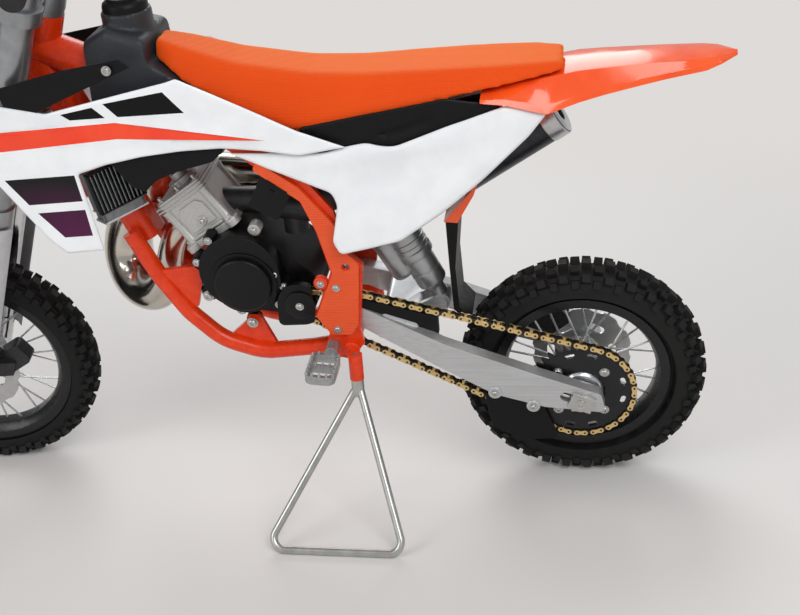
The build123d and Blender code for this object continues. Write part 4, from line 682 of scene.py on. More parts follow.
PANEL_LOW, PANEL_TILT, PANEL_INSET = 440.0, 0.08, 3.2
PANEL_PLAN = [(20, 82), (80, 92), (160, 104), (260, 110), (360, 110), (500, 106)]
PANEL_TOP = [
    (492, 618), (354, 617), (316, 626), (291, 630), (270, 625), (251, 624), (178, 648), (98, 670), (43, 654),
]
LEFT_FOOT = [(68, 624), (134, 566), (192, 521), (255, 480), (344, 460), (354, 480), (341, 537), (348, 556)]
RIGHT_FOOT = [(66, 634), (110, 628), (170, 586), (254, 532), (322, 510), (348, 556)]
PANEL_ROLL = (6.0, 3.2)


def side_surface(x, z):
    """The side panel's outer face: a shelf under its top, and a hollow above its foot."""
    flank = smooth_plan(PANEL_PLAN, x) - PANEL_TILT * (z - PANEL_LOW)
    shelf = 2.7 * ridge(x, z, (430, 596), (80, 644), 13)
    fold = 1.92 * ridge(x, z, (250, 490), (90, 632), 12)
    hollow = 3.0 * ridge(x, z, (330, 560), (200, 590), 22)
    return flank - PANEL_INSET + shelf + fold - hollow


left_skin = moulded_panel(eased(PANEL_TOP + LEFT_FOOT, 7), [], side_surface, PANEL_ROLL)
right_skin = mirrored(moulded_panel(eased(PANEL_TOP + RIGHT_FOOT, 7), [], side_surface, PANEL_ROLL))
for side, skin in (("left", left_skin), ("right", right_skin)):
    panel_piece(
        f"side_panel_{side}_moulding", skin, [white_gloss], [f"side_panel_{side}"]
    )

# ---------------------------------------------------------------- seat covers
# A matt black moulded infill closes each side under the seat's skirt. It is clipped behind
# the side panel and has a recessed finger grip.
COVER_EDGE = [(384, 652), (297, 667), (179, 685), (106, 671), (106, 660), (182, 636), (280, 588), (384, 588)]
COVER_GRIP = [(284, 640), (206, 662), (188, 655), (214, 644), (250, 630), (286, 634)]
COVER_INSET, GRIP_DEPTH, GRIP_EASE = 9.3, 4.0, 6


def cover_surface(x, z):
    """The cover's outer face, with its grip pressed in."""
    flank = smooth_plan(PANEL_PLAN, x) - PANEL_TILT * (z - PANEL_LOW)
    pressed = 0
    if inside((x, z), COVER_GRIP):
        pressed = min(edge_distance((x, z), COVER_GRIP), GRIP_EASE) / GRIP_EASE
    return flank - COVER_INSET - GRIP_DEPTH * pressed


def join(shape, other):
    """Add a bmesh to another; the added one is freed."""
    mesh = meshed("joined", other)
    shape.from_mesh(mesh)
    bpy.data.meshes.remove(mesh)


cover_skin = moulded_panel(eased(COVER_EDGE, 4), [], cover_surface, (4.0, 2.0), 5.0)
both_covers = bmesh.new()
for skin in (cover_skin, mirrored(cover_skin)):
    join(both_covers, skin)
panel_piece("seat_covers_moulding", both_covers, [black_plastic], ["seat_covers"])

# ---------------------------------------------------------------- seat
# Foam under a stretched gripper cover. The cover pulls the foam's edges round, so the seat
# has no sharp line. Its seams and its hem are not modelled.
seat_cloth, seat_tree, seat_shader, seat_place = new_finish("gripper_seat_cover")
# Close rows of raised dots catch the light and make the orange paler where seen along them.
# They stand 4 mm apart, so that they show.
seat_dots = add_node(
    seat_tree,
    "ShaderNodeTexVoronoi",
    {"Vector": seat_place, "Scale": 240.0, "Randomness": 0.12},
    feature="F1",
)
seat_noise = add_node(seat_tree, "ShaderNodeTexNoise", {"Vector": seat_place, "Scale": 9.0, "Detail": 3.0})
seat_tones = add_node(seat_tree, "ShaderNodeValToRGB", {"Fac": seat_noise.outputs["Fac"]})
seat_tones.color_ramp.elements[0].color = linear("#e34505")
seat_tones.color_ramp.elements[1].color = linear("#ea5007")
seat_tree.links.new(seat_tones.outputs[0], seat_shader.inputs["Base Color"])
seat_relief = add_node(
    seat_tree,
    "ShaderNodeBump",
    {"Height": seat_dots.outputs["Distance"], "Distance": 0.0008, "Strength": 0.7},
)
seat_tree.links.new(seat_relief.outputs[0], seat_shader.inputs["Normal"])
seat_shader.inputs["Roughness"].default_value = 0.66
seat_shader.inputs["Sheen Weight"].default_value = 0.6
seat_shader.inputs["Sheen Tint"].default_value = linear("#ffb848")
seat_shader.inputs["Specular IOR Level"].default_value = 0.18

seat_steps = [
    ("REMESH", {"mode": "VOXEL", "voxel_size": 0.0032}),
    ("SMOOTH", {"factor": 0.5, "iterations": 22}),
    ("SUBSURF", {"levels": 1, "render_levels": 1}),
]
seat_mesh = settled("seat_cover", merged_copy("seat"), [seat_cloth], seat_steps, 180)
seat_piece = place_piece("seat_cushion", seat_mesh, "chassis", ["seat"])

# ---------------------------------------------------------------- fuel tank
# The tank is rotomoulded in dark grey polyethylene, so it is thick and its facets are soft.
# It sits on the backbone and is held by its two brackets.
# Rotomoulded skin: pebbled and satin, with cloudy tones.
tank_plastic = mottled("pebbled_tank_plastic", "#1f2227", "#282b31", (0.4, 0.52), 380, 0.0002)
tank_steps = [
    ("REMESH", {"mode": "VOXEL", "voxel_size": 0.003}),
    ("SMOOTH", {"factor": 0.5, "iterations": 7}),
]
tank_mesh = settled("tank_shell", merged_copy("fuel_tank"), [tank_plastic], tank_steps, 180)
place_piece("fuel_tank_moulding", tank_mesh, "chassis", ["fuel_tank"])

# ---------------------------------------------------------------- rear fender
# A gloss orange injection-moulded shell, creased along its length and stiffened by its
# folded lip. It is screwed to the subframe's end.
fender_mesh = settled(
    "fender_shell", merged_copy("rear_fender"), [orange_gloss], [rounding(2.2, 14, 3)], 60
)
place_piece("rear_fender_moulding", fender_mesh, "chassis", ["rear_fender"])

# ---------------------------------------------------------------- tyres
# Knobbly motocross tyres: a round carcass with separate rubber blocks in rows, tall and
# square on the crown, stepped at the shoulders, with a bare sidewall that has fine rings.
# Dusty rubber: near-black, with a grey bloom in patches and no gloss.
tyre_rubber = mottled(
    "dusty_tyre_rubber", "#0c0c0c", "#171716", (0.6, 0.8), 60, 0.00012, specular_ior_level=0.3
)


def lathe(profile, steps):
    """A bmesh of a closed (radius, y) profile turned about the Y axis."""
    turned = bmesh.new()
    rings = []
    for step in range(steps):
        angle = 2 * math.pi * step / steps
        rings.append(
            [turned.verts.new((r * math.cos(angle), y, r * math.sin(angle))) for r, y in profile]
        )
    for step, ring in enumerate(rings):
        following = rings[(step + 1) % steps]
        for index in range(len(profile)):
            ahead_index = (index + 1) % len(profile)
            turned.faces.new((ring[index], ring[ahead_index], following[ahead_index], following[index]))
    bmesh.ops.recalc_face_normals(turned, faces=turned.faces)
    return turned


def copying_tree(name, inputs):
    """A Geometry Nodes tree with named inputs, given as (name, kind), and a Copies output."""
    tree = bpy.data.node_groups.new(name, "GeometryNodeTree")
    for title, kind in inputs:
        tree.interface.new_socket(title, in_out="INPUT", socket_type=f"NodeSocket{kind}")
    tree.interface.new_socket("Copies", in_out="OUTPUT", socket_type="NodeSocketGeometry")
    return tree, add_node(tree, "NodeGroupInput").outputs


def end_tree(tree, given, instances):
    """End a tree: set copies on its points, make them real and give them their finish."""
    copies = add_node(tree, "GeometryNodeInstanceOnPoints", instances)
    real = add_node(tree, "GeometryNodeRealizeInstances", {"Geometry": copies.outputs[0]})
    painted = add_node(
        tree, "GeometryNodeSetMaterial", {"Geometry": real.outputs[0], "Material": given["Finish"]}
    )
    add_node(tree, "NodeGroupOutput", {"Copies": painted.outputs[0]})
    return tree


def turned_copies_tree():
    """Geometry Nodes that repeat a mesh about the Y axis, Count times."""
    inputs = (("Unit", "Geometry"), ("Count", "Int"), ("Finish", "Material"))
    tree, given = copying_tree("turned_copies", inputs)
    points = add_node(tree, "GeometryNodeMeshLine", {"Count": given["Count"], "Offset": (0, 0, 0)})
    place = add_node(tree, "GeometryNodeInputIndex")
    share = add_node(tree, "ShaderNodeMath", {0: place.outputs[0], 1: given["Count"]}, operation="DIVIDE")
    angle = add_node(tree, "ShaderNodeMath", {0: share.outputs[0], 1: 2 * math.pi}, operation="MULTIPLY")
    turn = add_node(tree, "ShaderNodeCombineXYZ", {"Y": angle.outputs[0]})
    instances = {"Points": points.outputs[0], "Instance": given["Unit"], "Rotation": turn.outputs[0]}
    return end_tree(tree, given, instances)


def grown(tree, base, settings):
    """Run a copying tree on a base bmesh. A bmesh among its settings goes in as an object."""
    holder = in_scene("base", meshed("base", base))
    modifier = holder.modifiers.new("copies", "NODES")
    modifier.node_group = tree
    sockets = {item.name: item.identifier for item in tree.interface.items_tree}
    units = []
    for name, value in settings.items():
        if isinstance(value, bmesh.types.BMesh):
            value = in_scene("unit", meshed("unit", value))
            units.append(value)
        modifier[sockets[name]] = value
    copies = bmesh.new()
    copies.from_mesh(frozen(holder))
    for face in copies.faces:
        face.material_index = 0
    for unit in units:
        bpy.data.objects.remove(unit)
    return copies


TURNED_COPIES = turned_copies_tree()


def ring_of(unit, count, finish, matrix):
    """A bmesh of a unit in millimetres, repeated about its Y axis and put in place."""
    ring = grown(TURNED_COPIES, unit, {"Count": count, "Finish": finish})
    ring.transform(matrix)
    return ring


def add_block(shape, centre, angle, lean, size, taper, skew):
    """Add a tapered block that stands out of a wheel: lean turns it from the crown's top
    towards the side, and its size is along the tread, across it and outwards."""
    along, across, tall = (part / 2 for part in size)
    corners = []
    for level, spread in ((-1, 1.0), (1, taper)):
        for a, b in ((-1, -1), (1, -1), (1, 1), (-1, 1)):
            corner = (a * along * spread + skew * b * across, b * across * spread, level * tall)
            corners.append(Vector(corner))
    tilt = Matrix.Rotation(lean, 3, "X")
    turn = Matrix.Rotation(angle, 3, "Y")
    verts = [shape.verts.new(turn @ (Vector(centre) + tilt @ corner)) for corner in corners]
    for face in ((0, 3, 2, 1), (4, 5, 6, 7), (0, 1, 5, 4), (1, 2, 6, 5), (2, 3, 7, 6), (3, 0, 4, 7)):
        shape.faces.new([verts[index] for index in face])


# Knob rows: how far each leans from the crown, its phase in the tread, its size along and
# across the tread, and its skew. The blocks taper as they rise.
KNOB_ROWS = [
    (0.0, 0.0, (15.0, 17.0), 0.0),
    (25.0, 0.5, (14.5, 11.5), 0.10),
    (-25.0, 0.5, (14.5, 11.5), -0.10),
    (49.0, 0.0, (15.5, 13.0), 0.06),
    (-49.0, 0.0, (15.5, 13.0), -0.06),
    (66.0, 0.5, (13.5, 13.5), 0.0),
    (-66.0, 0.5, (13.5, 13.5), 0.0),
]
KNOB_TAPER, KNOB_ROOT, TREAD_DEPTH = 0.86, 2.0, 9.5
BEAD_HALF, WALL_THICK = 20.2, 8


def knobbly_tyre(name, outer, half, bead, pitches, matrix, body):
    """Build a tyre with its tread and stand it in its CAD node's place."""
    crown, side_half = outer - half, half - 3.0
    radius = half - TREAD_DEPTH
    lip = bead + 12.5
    side = []
    for step in range(9):
        angle = math.pi / 2 * step / 8
        side.append((crown + radius * math.sin(angle), side_half * math.cos(angle)))
    shoulder = [(crown - 12, half - 2.8), (crown - 10, half - 1.8), (crown - 8, half - 2.6)]
    wall = [(bead, BEAD_HALF), (lip, BEAD_HALF), (lip + 2, BEAD_HALF + 0.9), (lip + 4, BEAD_HALF + 0.4)]
    upper = wall + shoulder + side
    inner = [(bead, BEAD_HALF - WALL_THICK), (crown, half - WALL_THICK)]
    profile = upper + [(r, -y) for r, y in upper[-2::-1]] + [(r, -y) for r, y in inner]
    profile += [(outer - 2 * WALL_THICK, 0)] + inner[::-1]
    carcass = lathe(profile, 120)
    carcass.transform(matrix)

    unit = bmesh.new()
    step = 2 * math.pi / pitches
    for lean, phase, (along, across), skew in KNOB_ROWS:
        turn = math.radians(lean)
        low = radius * math.cos(turn) + crown
        height, spread = (1.0, 1.0) if abs(lean) < 50 else (0.66, 0.94)
        reach = (TREAD_DEPTH + KNOB_ROOT) * height
        middle = radius - KNOB_ROOT + reach / 2
        y = -side_half / radius * middle * math.sin(turn) * spread
        z = crown + middle * math.cos(turn)
        size = (along * low / (outer - TREAD_DEPTH), across, reach)
        add_block(unit, (0, y, z), (phase - 0.25) * step, turn, size, KNOB_TAPER, skew)
    join(carcass, ring_of(unit, pitches, tyre_rubber, matrix))
    mesh = settled(name, carcass, [tyre_rubber], [], 34)
    place_piece(f"{name}_knobbly", mesh, body, [name])


knobbly_tyre("rear_tyre", REAR_AXLE_Z, 36.0, 127.0, 33, REAR_WHEEL, "rear_wheel")
knobbly_tyre("front_tyre", 208.0, 31.0, 152.4, 37, FRONT_WHEEL, "front_wheel")

# ---------------------------------------------------------------- chain
# A roller chain: gold-plated outer links over dark inner links and rollers. It runs round
# the rear sprocket and the countershaft, and the swingarm's slider lifts its upper run.
CHAIN_Y, CHAIN_PITCH = 65.0, 12.7
SPROCKET_TEETH = 40
SPROCKET_PITCH_R = CHAIN_PITCH / (2 * math.sin(math.pi / SPROCKET_TEETH))
CHAIN_WHEELS = [((0.0, REAR_AXLE_Z), SPROCKET_PITCH_R), ((418.0, 356.0), 22.5), ((322.0, 357.0), 12.0)]


def belt_path(wheels, start):
    """The taut loop round some circles in side view, from the point nearest to start."""
    rim = []
    for centre, radius in wheels:
        for step in range(360):
            angle = math.radians(step)
            rim.append(Vector((centre[0] + radius * math.cos(angle), centre[1] + radius * math.sin(angle))))
    rim.sort(key=lambda point: (point.x, point.y))
    halves = []
    for order in (rim, rim[::-1]):
        half = []
        for point in order:
            while len(half) > 1 and (half[-1] - half[-2]).cross(point - half[-1]) <= 0:
                half.pop()
            half.append(point)
        halves += half[:-1]
    first = min(range(len(halves)), key=lambda index: (halves[index] - Vector(start)).length)
    return halves[first:] + halves[:first]


def links_tree():
    """Geometry Nodes that set a link at each Every-th of Count points along a closed path."""
    inputs = (
        ("Path", "Geometry"), ("Count", "Int"), ("Every", "Int"), ("First", "Int"), ("Link", "Object"),
        ("Finish", "Material"),
    )
    tree, given = copying_tree("chain_links", inputs)
    line = add_node(tree, "GeometryNodeMeshToCurve", {"Mesh": given["Path"]})
    even = add_node(tree, "GeometryNodeResampleCurve", {"Curve": line.outputs[0], "Count": given["Count"]})
    heading = add_node(tree, "GeometryNodeInputTangent")
    turn = add_node(
        tree, "FunctionNodeAlignRotationToVector", {"Vector": heading.outputs[0]}, axis="X", pivot_axis="Y"
    )
    place = add_node(tree, "GeometryNodeInputIndex")
    rest = add_node(tree, "ShaderNodeMath", {0: place.outputs[0], 1: given["Every"]}, operation="MODULO")
    chosen = add_node(
        tree, "ShaderNodeMath", {0: rest.outputs[0], 1: given["First"], 2: 0.1}, operation="COMPARE"
    )
    link = add_node(tree, "GeometryNodeObjectInfo", {"Object": given["Link"]})
    instances = {
        "Points": even.outputs[0],
        "Selection": chosen.outputs[0],
        "Instance": link.outputs["Geometry"],
        "Rotation": turn.outputs[0],
    }
    return end_tree(tree, given, instances)


def add_prism(shape, outline, axis_from, axis_to, place=Matrix()):
    """Add a prism: an outline in (x, z) pushed along Y between two levels, then placed."""
    rings = [[shape.verts.new(place @ Vector((x, y, z))) for x, z in outline] for y in (axis_from, axis_to)]
    faces = [shape.faces.new(rings[0]), shape.faces.new(rings[1][::-1])]
    for index in range(len(outline)):
        after = (index + 1) % len(outline)
        faces.append(shape.faces.new((rings[0][after], rings[0][index], rings[1][index], rings[1][after])))
    bmesh.ops.recalc_face_normals(shape, faces=faces)


def circle(radius, centre=(0, 0), count=12):
    """Points round a circle."""
    turns = [2 * math.pi * step / count for step in range(count)]
    return [(centre[0] + radius * math.cos(turn), centre[1] + radius * math.sin(turn)) for turn in turns]


def link_plate(radius, waist):
    """A link plate's outline: two round ends and a drawn-in waist."""
    half = CHAIN_PITCH / 2
    ends = []
    for side in (1, -1):
        for step in range(7):
            angle = math.radians(-118 + 236 * step / 6)
            ends.append((side * (half + radius * math.cos(angle)), side * radius * math.sin(angle)))
        ends.append((0, side * waist))
    return ends


# Gold plating over steel: warm, bright and a little uneven. Between the plates the rollers
# and inner links are dark with grease.
gold_plate = mottled("gold_link_plate", "#d9b878", "#e9cd94", (0.28, 0.4), 500, metallic=0.75)
dark_link = mottled("greased_link_steel", "#2a2622", "#4a4238", (0.3, 0.5), 500, metallic=0.8)

LINKS = links_tree()
chain_line = belt_path(CHAIN_WHEELS, (-SPROCKET_PITCH_R, REAR_AXLE_Z))
chain_length = sum((a - b).length for a, b in zip(chain_line, chain_line[1:] + chain_line[:1]))
chain_count = 2 * round(chain_length / CHAIN_PITCH / 2)


def chain_run(link, first, finish):
    """A bmesh of a link at every second place on the chain's closed line."""
    base = bmesh.new()
    verts = [base.verts.new((x, CHAIN_Y, z)) for x, z in chain_line]
    for index, vert in enumerate(verts):
        base.edges.new((vert, verts[(index + 1) % len(verts)]))
    settings = {"Count": chain_count, "Every": 2, "First": first, "Finish": finish, "Link": link}
    return grown(LINKS, base, settings)


PLATE_THICK, ROLLER_R, PIN_R = 1.3, 3.8, 1.7
outer_link = bmesh.new()
for level in (-5.9, 4.6):
    add_prism(outer_link, link_plate(4.6, 3.2), level, level + PLATE_THICK)
inner_link = bmesh.new()
for level in (-4.4, 3.1):
    add_prism(inner_link, link_plate(4.4, 3.0), level, level + PLATE_THICK)
for end in (-1, 1):
    add_prism(inner_link, circle(ROLLER_R, (end * CHAIN_PITCH / 2, 0), 10), -3.0, 3.0)
    add_prism(inner_link, circle(PIN_R, (end * CHAIN_PITCH / 2, 0), 8), -6.5, 6.5)
chain_shape = chain_run(outer_link, 0, gold_plate)
inner_shape = chain_run(inner_link, 1, dark_link)
for face in inner_shape.faces:
    face.material_index = 1
join(chain_shape, inner_shape)
chain_shape.transform(BIKE)
chain_mesh = settled("chain_links", chain_shape, [gold_plate, dark_link], [], 40)
place_piece("drive_chain", chain_mesh, "chassis", ["chain"])

# ---------------------------------------------------------------- sprocket teeth and bolts
# The rear sprocket's teeth are cut narrow so that they enter the rollers. Socket screws
# hold it to the hub.
TOOTH_SIDE, TOOTH_HALF = [(4.4, 72.5), (3.9, 77.5), (2.2, 81.5), (1.2, 84.2)], 2.4
tooth = bmesh.new()
tooth_outline = TOOTH_SIDE + [(-x, z) for x, z in TOOTH_SIDE[::-1]]
add_prism(tooth, tooth_outline, CHAIN_Y - TOOTH_HALF, CHAIN_Y + TOOTH_HALF)
teeth = ring_of(tooth, SPROCKET_TEETH, sprocket_black, REAR_WHEEL)
teeth_mesh = settled("teeth", teeth, [sprocket_black], [], 30)
place_piece("sprocket_teeth", teeth_mesh, "rear_wheel")


def fixings_tree():
    """Geometry Nodes that stand a screw on each point, facing the way the point says."""
    inputs = (("Points", "Geometry"), ("Unit", "Object"), ("Finish", "Material"))
    tree, given = copying_tree("fixings_on_points", inputs)
    facing = add_node(tree, "GeometryNodeInputNamedAttribute", {"Name": "facing"}, data_type="FLOAT_VECTOR")
    turn = add_node(tree, "FunctionNodeAlignRotationToVector", {"Vector": facing.outputs[0]}, axis="Z")
    unit = add_node(tree, "GeometryNodeObjectInfo", {"Object": given["Unit"]}).outputs["Geometry"]
    return end_tree(tree, given, {"Points": given["Points"], "Instance": unit, "Rotation": turn.outputs[0]})


FIXINGS = fixings_tree()


def stood_on(spots, unit, finish):
    """A bmesh of a unit in millimetres, stood on each (point, facing) spot."""
    base = bmesh.new()
    layer = base.verts.layers.float_vector.new("facing")
    for point, facing in spots:
        base.verts.new(point)[layer] = Vector(facing).normalized()
    return grown(FIXINGS, base, {"Unit": unit, "Finish": finish})


def fixings(name, unit, spots, matrix=BIKE, body="chassis", finish=bright_steel):
    """Stand a screw, nut or tooth on each (point, facing) spot and place them as one piece."""
    copies = stood_on(spots, unit, finish)
    copies.transform(matrix)
    place_piece(name, settled(name, copies, [finish], [], 35), body)


def turned_unit(profile, count=18, socket=0.0):
    """A turned part on +Z from its (radius, height) profile; a socket is a hexagon hole."""
    part = bmesh.new()
    rings = []
    for radius, height in profile:
        rings.append([part.verts.new((x, y, height)) for x, y in circle(radius, (0, 0), count)])
    if socket:
        top = profile[-1][1]
        for height in (top, top - socket * 0.8):
            ring = []
            for step in range(count):
                angle = 2 * math.pi * step / count
                flat = socket / math.cos((angle + math.pi / 6) % (math.pi / 3) - math.pi / 6)
                ring.append(part.verts.new((flat * math.cos(angle), flat * math.sin(angle), height)))
            rings.append(ring)
    for lower, upper in zip(rings, rings[1:]):
        for step in range(count):
            after = (step + 1) % count
            part.faces.new((lower[step], lower[after], upper[after], upper[step]))
    part.faces.new(rings[0][::-1])
    part.faces.new(rings[-1])
    bmesh.ops.recalc_face_normals(part, faces=part.faces)
    return part


def socket_screw(radius):
    """A socket-head screw on its washer."""
    washer = radius * 1.4
    head = [(radius, 1.0), (radius, radius * 0.7), (radius * 0.88, radius * 0.82)]
    return turned_unit([(washer, -0.5), (washer, 1.0)] + head, socket=radius * 0.5)


LEFT = (0, 1, 0)
SPROCKET_BOLT_RING, SPROCKET_FACE_Y = 50, CHAIN_Y + 3
sprocket_spots = [
    ((SPROCKET_BOLT_RING * math.cos(turn), SPROCKET_FACE_Y, SPROCKET_BOLT_RING * math.sin(turn)), LEFT)
    for turn in [math.radians(45 + 90 * quarter) for quarter in range(4)]
]
fixings("sprocket_screws", socket_screw(5.5), sprocket_spots, REAR_WHEEL, "rear_wheel")

# ---------------------------------------------------------------- axle adjusters and guide lugs
# Each axle end sits in a machined block that slides in the arm's slot, drawn back by a
# bolt. Two cast lugs under the left arm hold the chain guide.


def fitted(name, shape, finish, edge, matrix=BIKE, smooth=SHARP_DEGREES, nodes=()):
    """Place a drawn shape on the chassis, with its edges rounded by millimetres."""
    shape.transform(matrix)
    steps = [rounding(edge, smooth)] if edge else []
    place_piece(name, settled(name, shape, [finish], steps, smooth), "chassis", nodes)


def turned_box(centre, size, turn):
    """A rectangle in side view, turned by degrees."""
    sine, cosine = math.sin(math.radians(turn)), math.cos(math.radians(turn))
    half_x, half_z = size[0] / 2, size[1] / 2
    return [
        (centre[0] + a * cosine - b * sine, centre[1] + a * sine + b * cosine)
        for a, b in ((-half_x, -half_z), (half_x, -half_z), (half_x, half_z), (-half_x, half_z))
    ]


def add_turned(shape, start, end, profile, count=20):
    """Add a turned part along a line, from its (distance, radius) profile."""
    start, end = Vector(start), Vector(end)
    turn = (end - start).normalized().to_track_quat("Z", "Y").to_matrix().to_4x4()
    part = turned_unit([(radius, along) for along, radius in profile], count)
    part.transform(Matrix.Translation(start) @ turn)
    join(shape, part)


ARM_FACE_Y, SLOT_SLOPE, DRAW_BOLT_Y = 97.0, 22.0, 90
adjusters = bmesh.new()
block = turned_box((-1, 195), (37, 27), SLOT_SLOPE)
stop = turned_box((52, 211), (13, 13), SLOT_SLOPE)
for side in (1, -1):
    face_y, bolt_y = side * ARM_FACE_Y, side * DRAW_BOLT_Y
    add_prism(adjusters, block, face_y + side * 0.2, face_y + side * 6.6)
    add_prism(adjusters, stop, face_y - side * 14, face_y - side * 1.5)
    add_turned(adjusters, (50, bolt_y, 212), (14, bolt_y, 198), [(0, 3.4), (38, 3.4)], 12)
    add_turned(adjusters, (40, bolt_y, 208), (34, bolt_y, 205.6), [(0, 5.4), (6, 5.4)], 6)
fitted("axle_adjusters", adjusters, bright_steel, 0.6)
LUG_SPOTS, LUG_TOP_Y = [(131, 211), (73, 186)], ARM_FACE_Y + 2.4
lugs = bmesh.new()
for x, z in LUG_SPOTS:
    add_prism(lugs, circle(10.5, (x, z), 20), ARM_FACE_Y - 9, LUG_TOP_Y)
fitted("guide_lugs", lugs, arm_alloy, 1.2)
fixings("guide_screws", socket_screw(4.4), [((x, LUG_TOP_Y, z), LEFT) for x, z in LUG_SPOTS])

# ---------------------------------------------------------------- engine covers' bosses and screws
# The ignition cover is held by screws in cast bosses round its rim. The engine hangs from
# the cradle's ears on long bolts.
IGNITION_SPOTS = [(576, 433), (457, 411), (446, 389), (458, 357), (520, 347), (552, 470)]
IGNITION_TOP_Y, MOUNT_TOP_Y, MOUNT_BOLT_Y = 73, 51.5, 60.2
MOUNTS = {(573, 366): [(0, 16), (11, 13.5)], (510, 316): [(0, 13), (11, 12)]}
bosses = bmesh.new()
for x, z in IGNITION_SPOTS:
    add_turned(bosses, (x, 46, z), (x, IGNITION_TOP_Y, z), [(0, 9.5), (22, 8.6), (27, 7.6)])
for (x, z), profile in MOUNTS.items():
    add_turned(bosses, (x, 40, z), (x, MOUNT_TOP_Y, z), profile)
add_turned(bosses, (421, 86, 364), (421, 90, 364), [(0, 24), (3, 24), (4, 22.5)], 32)
add_prism(bosses, circle(52, (507, 398), 40), 76, 78.5)
fitted("engine_bosses", bosses, engine_paint, 0.6)
cover_screws = [((x, IGNITION_TOP_Y, z), LEFT) for x, z in IGNITION_SPOTS] + [((421, 90, 364), LEFT)]
fixings("engine_screws", socket_screw(4.6), cover_screws)
fixings("engine_mount_bolts", socket_screw(6.4), [((x, MOUNT_BOLT_Y, z), LEFT) for x, z in MOUNTS])

# ---------------------------------------------------------------- cylinder castings
# The cast barrel leans forward from the crankcase. It has stud columns at its corners and a
# raised pad on each side, and its finned head is held down by nuts.
CYLINDER_LEAN = math.radians(33.0)
ALONG = Vector((math.sin(CYLINDER_LEAN), 0, math.cos(CYLINDER_LEAN)))
BEHIND = Vector((-math.cos(CYLINDER_LEAN), 0, math.sin(CYLINDER_LEAN)))
CYLINDER = BIKE @ (
    Matrix.Translation((512, 0, 406)) @ Matrix((BEHIND, Vector((0, 1, 0)), ALONG)).transposed().to_4x4()
)
COLUMN = [(0, 10), (6, 7.5), (56, 7.5), (63, 9.5)]
COLUMN_FOOT = [(0, 12), (11, 12), (12.5, 10.5)]
FIN_HALF_X, FIN_HALF_Y, FIN_THICK = 46.5, 49.0, 2.6


def upright_box(low_x, high_x, low_z, high_z):
    """A rectangle in side view, between its sides."""
    return [(low_x, low_z), (high_x, low_z), (high_x, high_z), (low_x, high_z)]


def hex_nut(radius):
    """A hexagon nut on a washer, with its stud standing through it."""
    nut = turned_unit([(radius * 1.25, 0), (radius * 1.25, 1.2), (radius * 1.1, 1.2)])
    on_end = Matrix.Rotation(math.pi / 2, 4, "X") @ Matrix.Scale(-1, 4, (0, 1, 0))
    add_prism(nut, circle(radius, (0, 0), 6), 1.2, radius * 0.9, on_end)
    stud = [(radius * 0.5, 0), (radius * 0.5, radius * 1.3), (radius * 0.35, radius * 1.45)]
    join(nut, turned_unit(stud, 12))
    return nut


castings = bmesh.new()
for behind in (-37, 37):
    for side in (-1, 1):
        column_y, foot_y = side * 40, side * 43
        add_turned(castings, (behind, column_y, 78), (behind, column_y, 141), COLUMN)
        add_turned(castings, (behind * 1.1, foot_y, 66.5), (behind * 1.1, foot_y, 79), COLUMN_FOOT)
for side in (-1, 1):
    low, high = side * 43, side * 48
    add_prism(castings, [(-24, 90), (24, 90), (24, 122), (16, 132), (-16, 132), (-24, 122)], low, high)
    add_prism(castings, upright_box(-30, 30, 81, 85), low, side * 50)
    add_turned(castings, (4, side * 40, 100), (4, side * 52, 100), [(0, 8), (10, 8), (12, 6.5)])
for level in (143.5, 149.5):
    fin = upright_box(-FIN_HALF_X, FIN_HALF_X, level, level + FIN_THICK)
    add_prism(castings, fin, -FIN_HALF_Y, FIN_HALF_Y)
add_turned(castings, (0, 0, 156), (0, 0, 176), [(0, 24), (7, 24), (8, 16), (14, 14), (20, 14)], 28)
add_turned(castings, (66, 42, 46), (66, 62, 46), [(0, 10), (18, 10), (20, 8.6)])
fitted("cylinder_castings", castings, cast_alloy, 1.4, CYLINDER)
UP = (0, 0, 1)
nut_spots = [((behind, side * 36, 156.2), UP) for behind in (-35, 0, 35) for side in (-1, 1)]
fixings("head_nuts", hex_nut(5.6), nut_spots, CYLINDER)
base_spots = [((behind * 1.12, side * 45, 79), UP) for behind in (-39, 39) for side in (-1, 1)]
fixings("base_nuts", hex_nut(4.8), base_spots, CYLINDER)
fixings("cylinder_screws", socket_screw(4.4), [((4, 52, 100), LEFT), ((66, 62, 46), LEFT)], CYLINDER)

# ---------------------------------------------------------------- radiator louvres
# A black moulded frame with slanted blades guards the core. Under the core hangs a bare
# aluminium tank.
RADIATOR_Z = Vector((0.16, -0.01, 0.987)).normalized()
RADIATOR_Y = RADIATOR_Z.cross(Vector((0.662, 0.743, -0.1))).normalized()
RADIATOR_X = RADIATOR_Y.cross(RADIATOR_Z)
RADIATOR = BIKE @ (
    Matrix.Translation((686, 65, 570))
    @ Matrix((RADIATOR_X, RADIATOR_Y, RADIATOR_Z)).transposed().to_4x4()
)
CORE_LOW_Z, CORE_HIGH_Z = -33, 26
BLADE_COUNT, BLADE_PITCH, BLADE_Y = 11, 6.4, 19.0
blade_turn = Matrix.Rotation(math.radians(-38), 4, "Z")
guard = bmesh.new()
for bar in ((-39, -36, -35, 29), (36, 39, -35, 29), (-39, 39, -36, -33), (-39, 39, 26, 29)):
    add_prism(guard, upright_box(*bar), 10, 22)
add_prism(guard, upright_box(-37, 37, CORE_LOW_Z, CORE_HIGH_Z), 14.5, 15.6)
fitted("radiator_guard", guard, black_plastic, 0.8, RADIATOR)
blade = bmesh.new()
add_prism(blade, upright_box(-0.7, 0.7, CORE_LOW_Z, CORE_HIGH_Z), -3.6, 3.6, blade_turn)
blade_spots = [((-32 + index * BLADE_PITCH, BLADE_Y, 0), UP) for index in range(BLADE_COUNT)]
blades = stood_on(blade_spots, blade, core_alloy)
fitted("radiator_louvres", blades, core_alloy, 0, RADIATOR)
tank_trim = bmesh.new()
